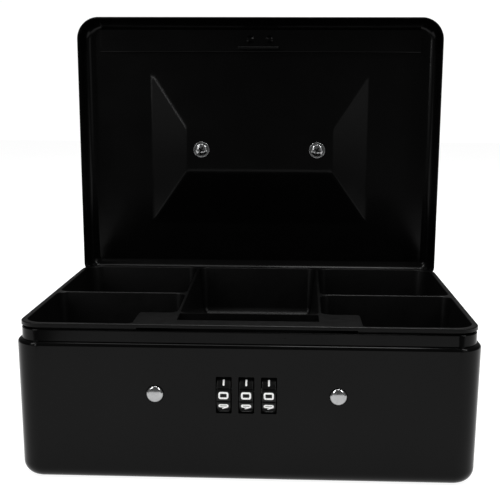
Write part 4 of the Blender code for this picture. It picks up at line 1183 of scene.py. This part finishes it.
def carry_over():
    """Gives the frame's own pieces their finish, smooth faces and broken edges."""
    finish_of = {node: finish for finish, nodes in CARRIED.items() for node in nodes}
    for name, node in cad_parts.items():
        if node.hide_render:
            continue
        finish = finish_of.get(name, "zinc")
        node.data.materials.clear()
        node.data.materials.append(FINISHES[finish])
        weld = node.modifiers.new("weld", "WELD")
        weld.merge_threshold = 0.000005
        widths = [width for start, width in EDGE_BEVELS.items() if name.startswith(start)]
        if widths:
            bevel = node.modifiers.new("broken_edges", "BEVEL")
            bevel.width = widths[0]
            bevel.segments = 2
            bevel.limit_method = "ANGLE"
            bevel.angle_limit = radians(50)
        smooth = node.modifiers.new("even_shading", "WEIGHTED_NORMAL")
        smooth.keep_sharp = True


# Stage


def softbox(name, place, aim, size, brightness):
    """A rectangular light at a place, aimed at a point, whose face looks that bright."""
    data = bpy.data.lights.new(name, "AREA")
    data.shape = "RECTANGLE"
    data.size, data.size_y = size
    data.energy = brightness * size[0] * size[1] * pi
    light = bpy.data.objects.new(name, data)
    bpy.context.scene.collection.objects.link(light)
    light.location = place
    light.rotation_euler = (Vector(place) - Vector(aim)).to_track_quat("Z", "Y").to_euler()


def make_floor():
    """White floor with a tongue toward the camera."""
    right = [(TONGUE_HALF_WIDTH, TONGUE_FRONT_Y), (TONGUE_HALF_WIDTH, FLOOR_FRONT_Y),
             (FLOOR_HALF_WIDTH, FLOOR_FRONT_Y), (FLOOR_HALF_WIDTH, FLOOR_BACK_Y)]
    left = [(-x, y) for x, y in reversed(right)]
    bm = bmesh.new()
    bm.faces.new([bm.verts.new((x, y, FLOOR_Z)) for x, y in left[-1:] + right + left[:-1]])
    FINISHES["floor"] = floor_finish()
    floor = add_piece("floor", bm, "floor")


def make_surroundings():
    """A white backdrop for the camera and much dimmer surroundings for everything else."""
    world = bpy.data.worlds.new("studio")
    bpy.context.scene.world = world
    world.use_nodes = True
    nodes = world.node_tree.nodes
    links = world.node_tree.links
    seen = nodes.new("ShaderNodeBackground")
    set_inputs(seen, {"Color": WHITE, "Strength": BACKDROP_STRENGTH})
    around = nodes["Background"]
    set_inputs(around, {"Color": WHITE, "Strength": SURROUNDINGS_STRENGTH})
    mix = nodes.new("ShaderNodeMixShader")
    links.new(nodes.new("ShaderNodeLightPath").outputs["Is Camera Ray"], mix.inputs["Fac"])
    links.new(around.outputs["Background"], mix.inputs[1])
    links.new(seen.outputs["Background"], mix.inputs[2])
    links.new(mix.outputs["Shader"], nodes["World Output"].inputs["Surface"])


def make_lights():
    """Two softboxes over the open lid, a strip at the left, and a low and a high pair in front."""
    softbox("top_light", (-0.06, 0.40, 1.25), (-0.06, 0.40, 0.0), (0.64, 1.40), 3.8)
    softbox("top_light_right", (0.13, 0.40, 1.24), (0.13, 0.40, 0.0), (0.26, 1.40), 7.0)
    softbox("strip_light", (-0.52, -0.90, 0.40), (-0.06, 0.09, 0.18), (0.05, 0.50), 12.0)
    for side, name in ((-1, "left"), (1, "right")):
        softbox("low_light_" + name, (0.75 * side, -0.85, 0.45), (0, 0, 0.1), (0.45, 0.90), 0.6)
        softbox("high_light_" + name, (0.70 * side, -0.55, 0.95), (0, 0, 0.1), (0.10, 0.60), 20.0)


def floor_finish():
    """Matt grey table whose even glow makes it look white."""
    made = Finish("floor", 0.0, 0.1)
    made.colour(made.noise(0.2, 2.0), (0.34, 0.34, 0.34), (0.36, 0.36, 0.36))
    set_inputs(made.shader, {"Roughness": 0.9, "Emission Color": WHITE, "Emission Strength": 0.92})
    return made.material


box_body()
coin_tray()
lid_shell()
front_rail()
lid_strike()
handle_screws()
handle_posts()
handle_bail()
buttons()
latch_springs()
for wheel_number, wheel_x in enumerate((-DIAL_PITCH, 0.0, DIAL_PITCH), 1):
    dial_wheel(wheel_number, wheel_x)
    wheel_numerals(wheel_number, wheel_x)
carry_over()
make_floor()
make_surroundings()
make_lights()
bpy.context.scene.view_settings.view_transform = "Standard"
